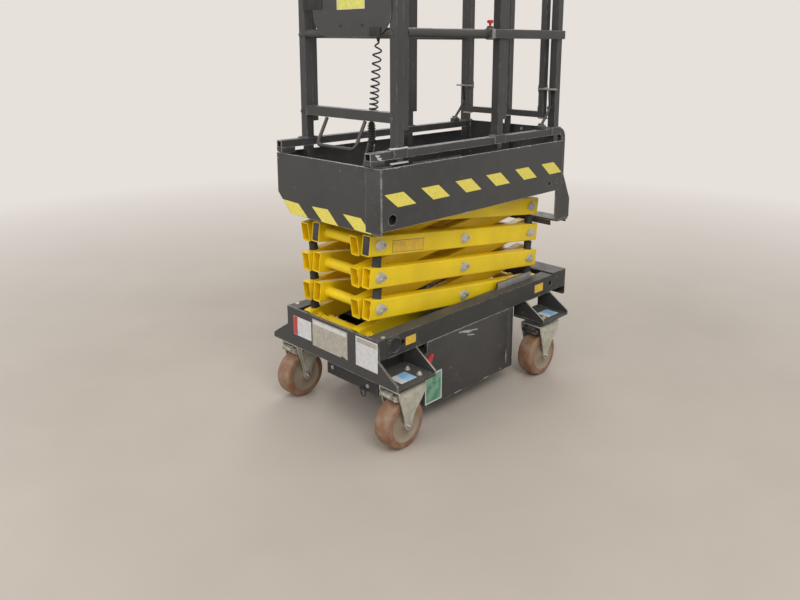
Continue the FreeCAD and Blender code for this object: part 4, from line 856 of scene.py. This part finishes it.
# Chassis dressings: flush battery side panels, folded edges, welds and bolts
RAIL_SIDE = 278.0
RAIL_TOP = 437.0
RAIL_FOOT = 357.0
WING = 380.0
BRACKET_TOP = 276.0
skins = Piece("battery_side_panels")
for side in (-1, 1):
    skins.block((-195, 344.5), flank(side, 262, 275.4), (71, 352), black_worn_highlit, 0.8)
    skins.block((-227.5, -194), flank(side, 262, 274.7), (71, 352), black, 0.8)
    skins.block((-226, 344), flank(side, 266, 274.9), (352.6, 355.6), steel, 0.6)
for corners in ([(26, 316), (60, 322), (88, 319), (120, 330), (152, 336), (150, 341), (112, 337), (70, 328), (30, 323)],
                [(44, 300), (70, 303), (96, 311), (92, 314), (62, 308)],
                [(-60, 72), (-20, 71.5), (-24, 75), (-52, 76)], [(120, 71.5), (176, 72), (170, 76), (132, 75)],
                [(-182, 90), (-178, 130), (-181, 168), (-185, 132)]):
    skins.prism("Y", corners, (275.2, 275.6), scuff, 0.0)
for x in (-415, -162):
    step = 1 if x < -300 else -1
    for side in (-1, 1):
        skins.block(sorted((x, x + step * 126.2)), flank(side, 230, 234.5), (438, 468.6), grey_plate, 1.0)
skins.done("chassis")

edges = Piece("chassis_edges")
for start in (409.0, -514.0, -320.0):
    for side in (-1, 1):
        slope = [(side * (RAIL_SIDE + 0.2), RAIL_FOOT - 2), (side * (RAIL_SIDE + 0.2), RAIL_FOOT + 0.6),
                 (side * (WING + 0.4), 291.5), (side * (WING + 0.4), 289)]
        edges.prism("X", slope, (start - 0.3, start + 6.3), steel, 0.4)
for side in (-1, 1):
    for x in (409.0, -514.0):
        edges.bead([(x + 8, side * 290, BRACKET_TOP), (x + 8, side * 376, BRACKET_TOP)], black_dusty, 2.4)
    edges.bead([(605, side * 282, BRACKET_TOP), (605, side * 376, BRACKET_TOP)], black_dusty, 2.4)
    edges.bead([(x, side * (RAIL_SIDE + 0.6), RAIL_FOOT - 0.6) for x in range(360, 600, 30)], black_dusty, 2.0)
    edges.bead([(x, side * (RAIL_SIDE + 0.6), RAIL_FOOT - 0.6) for x in range(-505, -300, 30)], black_dusty, 2.0)
edges.done("chassis")

fixings = Piece("chassis_bolts")
for side in (-1, 1):
    for x, z in ((560, 372), (560, 422), (-560, 372), (-560, 422)):
        fixings.bolt("Y", (x, z), (side * RAIL_SIDE, side * (RAIL_SIDE + 5)), 6.0, black)
    for x in (575, -600):
        fixings.lathe("Z", (x, side * 262), [(RAIL_TOP - 1, 0), (RAIL_TOP - 1, 9), (RAIL_TOP + 3, 8), (RAIL_TOP + 4, 5),
                                             (RAIL_TOP + 4, 0)], zinc, count=20)
for y, z in ((-123, 170), (97, 159)):
    fixings.bolt("X", (y, z), (505, 510), 6.0, zinc)
fixings.prism("Z", [(500, 55), (518, 60), (524, 77), (518, 94), (500, 99)], (139, 145), black, 1.5)
ring = [(512, 77 + 14 * math.sin(a), 128 + 16 * math.cos(a)) for a in [math.pi * i / 10 for i in range(20)]]
fixings.sweep(ring + ring[:1], 3.0, black, closed=False)
# Collar round the near rail's tie-down hole, and a near-black disc filling the hole as painted shade
fixings.lathe("Y", (528, 398), [(277, 27), (280, 27.5), (281.4, 30), (280.4, 33), (278.4, 35), (277, 35)], black_dusty,
              count=40)
fixings.lathe("Y", (528, 398), [(277, 0), (277, 28), (278.4, 28), (278.4, 0)], matt_black_and_shade, count=32)
fixings.done("chassis")

# Blank plates and films
labels = Piece("chassis_labels")
FILM = 0.5
front = (CHASSIS_FRONT, CHASSIS_FRONT + FILM)
proud = (CHASSIS_FRONT, CHASSIS_FRONT + FILM + 0.2)
labels.block(front, (-236, -118), (322, 404), white_label, 0.0)
labels.block(proud, (-235, -209), (323, 403), red_label, 0.0)
labels.prism("X", [(-110, 309), (66, 309), (74, 318), (92, 313), (101, 309), (106, 311), (106, 424), (-110, 424)],
             front, beige_label, 0.0)
labels.prism("X", [(-104, 402), (100, 402), (100, 419), (-104, 419)], proud, white_label, 0.0)
labels.block(front, (155, 277), (309, 428), white_label, 0.0)
labels.block(proud, (160, 272), (404, 423), beige_label, 0.0)
labels.block((412, 472), (RAIL_SIDE, RAIL_SIDE + FILM), (377, 414), ink, 0.0)
labels.block((414, 470), (RAIL_SIDE, RAIL_SIDE + FILM + 0.2), (379, 412), orange_label, 0.0)
labels.block((-454, -384), (RAIL_SIDE, RAIL_SIDE + FILM), (376, 418), ink, 0.0)
labels.block((-452, -386), (RAIL_SIDE, RAIL_SIDE + FILM + 0.2), (378, 416), orange_label, 0.0)
labels.block((256, 356), (275.8, 276.4), (84, 212), white_label, 0.0)
labels.block((262, 350), (275.8, 276.7), (90, 206), green_label, 0.0)
for x, plain in ((482, 484), (-482, -480)):
    labels.block((x, x + 82), (284, 350), (BRACKET_TOP, BRACKET_TOP + FILM), white_label, 0.0)
    labels.block((plain, plain + 48), (286, 348), (BRACKET_TOP, BRACKET_TOP + FILM + 0.2), blue_label, 0.0)
labels.done("chassis")

isolator = Piece("battery_isolator")
isolator.lathe("Y", (346, 276), [(273, 0), (273, 34), (279, 33), (281, 29), (281, 0)], plastic, count=36)
grip = [(321, 300), (330, 304), (356, 286), (367, 266), (362, 250), (352, 249), (340, 262), (324, 286)]
isolator.prism("Y", grip, (280.5, 291), red, 2.5)
isolator.lathe("Y", (346, 276), [(290, 0), (290, 9), (294, 8), (295, 6), (295, 0)], red, count=24)
isolator.done("chassis")

# Lift cylinder dressings: hose fittings and gland nut
CYLINDER_LOW = Vector((243.0, 0.0, 338.0))
CYLINDER_HIGH = Vector((REAR_PIVOT, 0.0, LOW_PIVOT + RISE))
STOWED = (CYLINDER_HIGH - CYLINDER_LOW).length
run = CYLINDER_HIGH - CYLINDER_LOW
cylinder_turn = Matrix.Translation(CYLINDER_LOW) @ Matrix.Rotation(math.atan2(-run.z, run.x), 4, "Y")
shell_end = STOWED - 46 - 40
barrel = Piece("cylinder_fittings")
barrel.lathe("X", (0, 0), [(shell_end - 30, 30), (shell_end - 30, 37.5), (shell_end - 26, 39), (shell_end - 6, 39),
                           (shell_end - 2, 36), (shell_end - 2, 30)], zinc, cylinder_turn, 36)
for x in (70, shell_end - 60):
    barrel.lathe("Z", (x, 0), [(30, 0), (30, 11), (44, 11), (44, 8), (50, 8), (50, 0)], zinc, cylinder_turn, 6)
barrel.done("barrel")

# Hazard stripes on the skirts
stripes = Piece("hazard_stripes")
for top_x in (606, 417, 224, 33, -164, -359):
    for side in (-1, 1):
        corners = [(top_x, 992), (top_x - 67, 939), (top_x - 162, 939), (top_x - 95, 992)]
        stripes.prism("Y", corners, sorted((side * 305.9, side * (306 + FILM))), hazard, 0.0)
for corners in (((-275, 895), (-173, 892), (-114, 844), (-222, 842)), ((-86, 894), (10, 897), (71, 842), (-23, 842)),
                ((99, 894), (198, 894), (255, 843), (165, 845))):
    stripes.prism("X", corners, (PLATFORM_FRONT - 0.1, PLATFORM_FRONT + FILM), hazard, 0.0)
stripes.done("platform")

# Deck: raised lozenges in two leaning directions
plate = Piece("deck_treads")
lozenges = bmesh.new()
for row in range(33):
    for column in range(17):
        x = PLATFORM_REAR + 30 + row * 34
        y = -272 + column * 34
        lean = math.radians(45 if (row + column) % 2 else -45)
        base = []
        top = []
        for along_it, across in ((-13, 0), (0, -3.2), (13, 0), (0, 3.2)):
            for share, height, ring in ((1.0, -0.2, base), (0.62, 1.3, top)):
                u, v = along_it * share, across * share
                ring.append(lozenges.verts.new((x + u * math.cos(lean) - v * math.sin(lean),
                                                y + u * math.sin(lean) + v * math.cos(lean), DECK_TOP + height)))
        lozenges.faces.new(top)
        lozenges.faces.new(base[::-1])
        for i in range(4):
            j = (i + 1) % 4
            lozenges.faces.new((base[i], base[j], top[j], top[i]))
plate.merge(lozenges, deck_steel)
plate.done("platform")

# Platform trim: lapped skirt corner, worn top edges, bolts and welds
trim = Piece("skirt_trim")
trim.block((PLATFORM_FRONT - 3.5, PLATFORM_FRONT + 1.4), (224, 305.6), (848, SKIRT_TOP - 1), black_worn_highlit, 0.8)
shoe = [(643, BASE_TOP - 26), (643, BASE_TOP - 43), (630, BASE_TOP - 52), (575, BASE_TOP - 52), (575, BASE_TOP - 28)]
for side in (-1, 1):
    trim.prism("Y", shoe, flank(side, 244, 276), black_worn_highlit, 1.5)
trim.block((PLATFORM_REAR + 1, PLATFORM_FRONT - 5), (301.8, 306.2), (SKIRT_TOP - 0.4, SKIRT_TOP + 0.8), steel, 0.4)
trim.block((PLATFORM_REAR + 1, PLATFORM_FRONT - 5), (-306.2, -301.8), (SKIRT_TOP - 0.4, SKIRT_TOP + 0.8), steel, 0.4)
trim.block((PLATFORM_FRONT - 4.2, PLATFORM_FRONT + 0.2), (-300, 222), (SKIRT_TOP - 0.4, SKIRT_TOP + 0.8), steel, 0.4)
# Flanges of the near front post's foot, rubbed to bare steel and lightened partly as a painted highlight, and flakes
# off the near base rail's front end
trim.block((458, 546), (268, 279.5), (BASE_TOP + 4, BASE_TOP + 9), bare_steel_and_highlight, 1.2)
trim.block((462, 550), (274, 284), (BASE_TOP - 49, BASE_TOP - 43), bare_steel_and_highlight, 1.2)
for x, z in ((596, BASE_TOP - 9), (588, BASE_TOP - 19), (578, BASE_TOP - 28)):
    trim.prism("Y", [(x, z), (x + 25, z + 4), (x + 20, z - 5), (x + 6, z - 6)], (274.9, 275.4), bare_steel_and_highlight, 0.0)
chip_at = random.Random(5)
for _ in range(26):
    x = chip_at.uniform(-500, 600)
    long, tall = chip_at.uniform(4, 22), chip_at.uniform(2, 5)
    corners = [(x, SKIRT_TOP), (x + long, SKIRT_TOP), (x + long * 0.8, SKIRT_TOP - tall * 0.6),
               (x + long * 0.4, SKIRT_TOP - tall), (x + long * 0.15, SKIRT_TOP - tall * 0.7)]
    trim.prism("Y", corners, (305.9, 306.3), scuff, 0.0)
for _ in range(14):
    y = chip_at.uniform(-290, 215)
    long, tall = chip_at.uniform(3, 14), chip_at.uniform(2, 4)
    corners = [(y, SKIRT_TOP), (y + long, SKIRT_TOP), (y + long * 0.6, SKIRT_TOP - tall)]
    trim.prism("X", corners, (PLATFORM_FRONT - 0.1, PLATFORM_FRONT + 0.3), scuff, 0.0)
trim.done("platform")

screws = Piece("platform_bolts")
for side in (-1, 1):
    for z in (MID_RAIL - 4, DECK_TOP + 291):
        screws.bolt("X", (250 if side > 0 else -267, z), (515, 522), 7.5, black)
screws.bolt("Y", (FRONT_POST + 50, 1126), (280, 283.5), 4.0, rust_bolt)
for y in (-247, 71):
    screws.bolt("X", (y, 1120), (-528, -523), 5.0, zinc)
for y in (-19, 102):
    screws.lathe("X", (y, 1582), [(519, 0), (519, 7), (521.5, 6), (522.2, 4), (522.2, 0)], rubber, count=20)
for y in (-145, -185):
    screws.bolt("X", (y, 1690), (522.6, 527), 5.0, black)
screws.done("platform")

beads = Piece("platform_welds")
for side in (-1, 1):
    for x in (FRONT_POST, MID_POST, REAR_POST):
        low = side * 243
        high = side * 276
        beads.bead([(x - 0.5, low, BASE_TOP + 5), (x - 0.5, high, BASE_TOP + 5), (x + 35.5, high, BASE_TOP + 5),
                    (x + 35.5, low, BASE_TOP + 5)], black, 2.2)
    for x in (FRONT_POST, MID_POST):
        beads.bead([(x - 28, side * 246, DECK_TOP + 253), (x - 28, side * 272, DECK_TOP + 253)], black, 2.0)
beads.done("platform")

# Control plate dressings, the joining bracket and the cord's socket face
panel = Piece("control_plate_dressings")
panel.block((519, 519.6), (-37, 117), (1638, 1903), white_label, 0.0)
panel.block((519, 519.8), (-35.5, 115.5), (1639.5, 1901.5), yellow_label, 0.0)
panel.block((519, 522.6), (-206, -124), (1644, 1720), matt_black_and_shade, 1.2)
panel.block((515.4, 519.4), (-242, -181), (1644, 1720), matt_black_and_shade, 0.8)
panel.block((518.5, 525), (145, 200), (1541, 1572), matt_black_and_shade, 2.0)
panel.done("platform")

console = Piece("control_box_shell")
console.prism("Y", [(425, 1722), (433, 1716), (515, 1716), (515, 1906), (470, 1906), (425, 1876)], (-85, 85),
              grey_plastic, 5.0)
console.prism("Y", [(424.6, 1734), (424.6, 1862), (423.4, 1862), (423.4, 1734)], (-70, 70), black, 0.0)
slope = Matrix.Translation((447, 0, 1891)) @ Matrix.Rotation(-math.atan2(30, 45), 4, "Y")
console.block((-21, 21), (-72, 72), (-1, 1.6), plastic, 1.0, slope)
console.lathe("Z", (0, 0), [(1.4, 0), (1.4, 17), (5, 16), (9, 11), (14, 8), (14, 0)], rubber, slope, 28)
console.lathe("Z", (0, 0), [(12, 0), (12, 5), (34, 5), (34, 9), (39, 10.5), (52, 9.5), (55, 6), (55, 0)], plastic,
              slope, 28)
console.lathe("Z", (0, 46), [(1.4, 0), (1.4, 10), (9, 10), (9, 17), (14, 17.5), (19, 14), (20, 9), (20, 0)], red,
              slope, 32)
console.lathe("Z", (0, -46), [(1.4, 0), (1.4, 11), (4, 10.4), (4, 0)], zinc, slope, 28)
console.block((-1.4, 1.4), (-49, -43), (3.6, 11), zinc, 0.6, slope)
for y in (-24, 24):
    console.lathe("Z", (6, y), [(1.4, 0), (1.4, 6.5), (4.4, 6.2), (5.2, 5), (5.2, 0)], yellow_label, slope, 24)
for y in (-74, 74):
    for z in (1730, 1866):
        console.lathe("X", (y, z), [(424.8, 0), (424.8, 4.5), (422.6, 4), (422.6, 0)], zinc, count=16)
console.lathe("Z", (459, SOCKET_Y - 40), [(1717, 0), (1717, 11), (1710, 11), (1709, 8), (1703, 7), (1703, 0)], plastic,
              count=24)
console.done("platform", ["control_box"])

# Gate dressings: hinge straps, links, latch and the centre stop
for name, side in SIDES:
    gate = Piece("gate_%s_dressings" % name)
    leaf_x = (REAR_POST + 30, REAR_POST + 58)
    for z in (1300, 1780):
        gate.block((leaf_x[0] - 1.6, leaf_x[1] + 1.6), flank(side, 200, 231), (z, z + 34), black, 1.0)
        for dx in (8, 20):
            gate.bolt("Y", (leaf_x[0] + dx, z + 17), (side * 231, side * 234.6), 4.0, zinc)
    for z in (1215, 1535, 1553, 1966):
        for y in (37.5, 201.5):
            gate.bead([(leaf_x[1] + 0.2, side * y, z), (leaf_x[1] + 0.2, side * (y + 0.1), z + 22)], black, 1.6)
    gate.done("gate_" + name)

links = Piece("gate_links")
for side in (-1, 1):
    y = side * 255
    links.block((-487, -465), flank(side, 198, 288), (1311, 1319), grey_plate, 1.5)
    links.sweep([(-474, y, 1316), (-479, y, 1270), (-484, y, 1232), (-455, y, 1195), (-420, y, 1158)], 6.0, black)
    links.lathe("Y", (-483, 1231), [(y - 10, 0), (y - 10, 8.5), (y + 10, 8.5), (y + 10, 0)], black, count=18)
    links.lathe("Y", (-420, 1158), [(y - 12, 0), (y - 12, 8), (y + 12, 8), (y + 12, 0)], black_worn_highlit, count=18)
    links.block((-440, -400), (y - 13, y + 13), (BASE_TOP - 0.5, BASE_TOP + 18), black, 2.0)
links.block((-512, -497), (-8, 20), (956, 1180), black_dusty, 2.0)
links.block((-516, -493), (-14, 26), (956, 961), black_worn_highlit, 1.5)
links.done("platform")

# Clamp for the sliding rail with its pull pin, and plugs in the open tube ends
clamp = Piece("rail_clamp")
clamp.lathe("X", (259.5, MID_RAIL), [(-46, 17.3), (-46, 22), (-42, 23.5), (-14, 23.5), (-10, 22), (-10, 17.3)], black_worn_highlit, count=32)
clamp.block((-40, -16), (252, 267), (MID_RAIL + 21, MID_RAIL + 30), black, 1.5)
clamp.lathe("Z", (-28, 259.5), [(MID_RAIL + 28, 0), (MID_RAIL + 28, 5), (MID_RAIL + 40, 5), (MID_RAIL + 42, 12),
                                (MID_RAIL + 50, 13), (MID_RAIL + 54, 10), (MID_RAIL + 54, 0)], red, count=28)
clamp.done("platform")

flat = Piece("side_rails_tubes")
RAIL_ENDS = (-527.0, -22.0)
for side in (-1, 1):
    y = flank(side, 277.2, 291)
    flat.tube("X", (y[0], MID_RAIL - 18.5), (y[1], MID_RAIL + 18.5), black_worn_highlit, RAIL_ENDS, 2.0, 4.0)
    flat.tube("X", (y[0] - 0.8, MID_RAIL - 19.3), (y[1] + 0.8, MID_RAIL + 19.3), grey_plate, (-22.2, -5.0), 3.0, 4.0)
    flat.lathe("X", (side * 259.5, MID_RAIL), [(MID_POST + 35, 0), (MID_POST + 35, 17), (FRONT_POST - 28, 17),
                                               (FRONT_POST - 28, 0)], black, count=36)
flat.done("platform", ["side_rails"])

lips = Piece("step_lips")
STEP_FOOT = DECK_TOP - 242
lips.block((-514, -510.2), (-266, 266), (STEP_FOOT - 33, STEP_FOOT - 8), black, 1.0)
lips.block((-598.8, -595), (-294, 294), (STEP_FOOT - 24, STEP_FOOT - 8), black, 1.0)
lips.done("platform")

caps = Piece("tube_caps")
for side in (-1, 1):
    for x in (FRONT_POST, MID_POST):
        y = flank(side, 246, 272)
        caps.block((x - 27, x - 1), y, (DECK_TOP + 252.6 - 2, DECK_TOP + 253.2), plastic, 1.0)
    for x in (-529.5, -9.0):
        caps.block((x, x + 6), flank(side, 279.4, 288.8), (MID_RAIL - 16.3, MID_RAIL + 16.3), plastic, 1.0)
    caps.lathe("X", (side * 259.5, GUARD_TOP - 19), [(REAR_POST - 1.5, 0), (REAR_POST - 1.5, 14), (REAR_POST + 1, 18.4),
                                                     (REAR_POST + 3, 18.4), (REAR_POST + 3, 0)], plastic, count=28)
caps.done("platform")

# Materials for the frame's own nodes
LOOKS = {
    "chassis_rails": black_dusty, "front_plate": black_worn_highlit, "rear_wall": black_dusty, "castor_brackets": black_dusty,
    "castor_gussets": black_worn_highlit, "battery_box": black, "box_hangers": black, "pump_box": black_dusty,
    "cylinder_mount": black_dusty, "cylinder_barrel": black, "cylinder_rod": chrome, "deck": deck_steel,
    "platform_channels": black_dusty, "side_skirts": black_worn_highlit, "front_skirt": black_worn_highlit, "step_sides": black_worn_highlit,
    "step_tread": black_worn_highlit, "rear_edge": black_worn_highlit, "base_rails": black_worn_highlit, "rail_legs": black,
    "guard_posts": black, "post_feet": black_worn_highlit, "top_rail": black, "front_rails": black,
    "gate_near": black, "gate_far": black, "gate_hinges": zinc, "control_plate": black, "cord_socket": plastic,
    "cord_conduit": rubber, "front_hoop": black,
}
for name, look in LOOKS.items():
    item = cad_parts[name]
    item.data.materials.clear()
    item.data.materials.append(look)

# Floor that pales into the backdrop away from the object, and lamps
BACKDROP = (0.80, 0.752, 0.705, 1.0)
floor_look, floor_tree, floor_shader, floor_at = material("studio_floor")
floor_tone = noise(floor_tree, floor_at, 1.6, 7.0)
floor_tree.links.new(blend(floor_tree, ramp(floor_tree, floor_tone, 0.3, 0.7), (0.485, 0.425, 0.36, 1.0),
                           (0.53, 0.465, 0.395, 1.0)), floor_shader.inputs["Base Color"])
floor_shader.inputs["Roughness"].default_value = 0.75
distance = add(floor_tree, "VectorMath", {"operation": "LENGTH"}, in0=floor_at).outputs["Value"]
path = add(floor_tree, "LightPath")
shown = calc(floor_tree, "MAXIMUM", path.outputs["Is Camera Ray"],
             calc(floor_tree, "MAXIMUM", path.outputs["Is Glossy Ray"], path.outputs["Is Transmission Ray"]))
far = calc(floor_tree, "MULTIPLY", shown, ramp(floor_tree, distance, 1.6, 5.5))
glow = add(floor_tree, "Emission", None, Color=BACKDROP, Strength=1.0).outputs[0]
mixed = add(floor_tree, "MixShader", None, in0=far, in1=floor_shader.outputs[0], in2=glow).outputs[0]
floor_tree.links.new(mixed, floor_tree.nodes["Material Output"].inputs["Surface"])
floor_mesh = bmesh.new()
bmesh.ops.create_grid(floor_mesh, x_segments=8, y_segments=8, size=14.0)
floor_data = bpy.data.meshes.new("floor")
floor_mesh.to_mesh(floor_data)
floor_mesh.free()
floor = bpy.data.objects.new("floor", floor_data)
floor_data.materials.append(floor_look)
bpy.context.scene.collection.objects.link(floor)

world = bpy.data.worlds.new("studio")
bpy.context.scene.world = world
world.use_nodes = True
sky = world.node_tree
path = add(sky, "LightPath")
shown = calc(sky, "MAXIMUM", path.outputs["Is Camera Ray"],
             calc(sky, "MAXIMUM", path.outputs["Is Glossy Ray"], path.outputs["Is Transmission Ray"]))
sky.links.new(blend(sky, shown, (0.62, 0.63, 0.65, 1.0), BACKDROP), sky.nodes["Background"].inputs["Color"])
sky.nodes["Background"].inputs["Strength"].default_value = 1.0

for name, place, power, size in (("key", (1.8, 3.2, 4.2), 95, 2.6), ("front", (4.4, -0.6, 3.4), 55, 2.4),
                                 ("back", (-3.4, -2.6, 3.6), 60, 2.8)):
    data = bpy.data.lights.new(name, "AREA")
    data.energy = power
    data.size = size
    lamp = bpy.data.objects.new(name, data)
    lamp.location = place
    lamp.rotation_mode = "QUATERNION"
    lamp.rotation_quaternion = (Vector((0, 0, 0.9)) - Vector(place)).to_track_quat("-Z", "Y")
    bpy.context.scene.collection.objects.link(lamp)
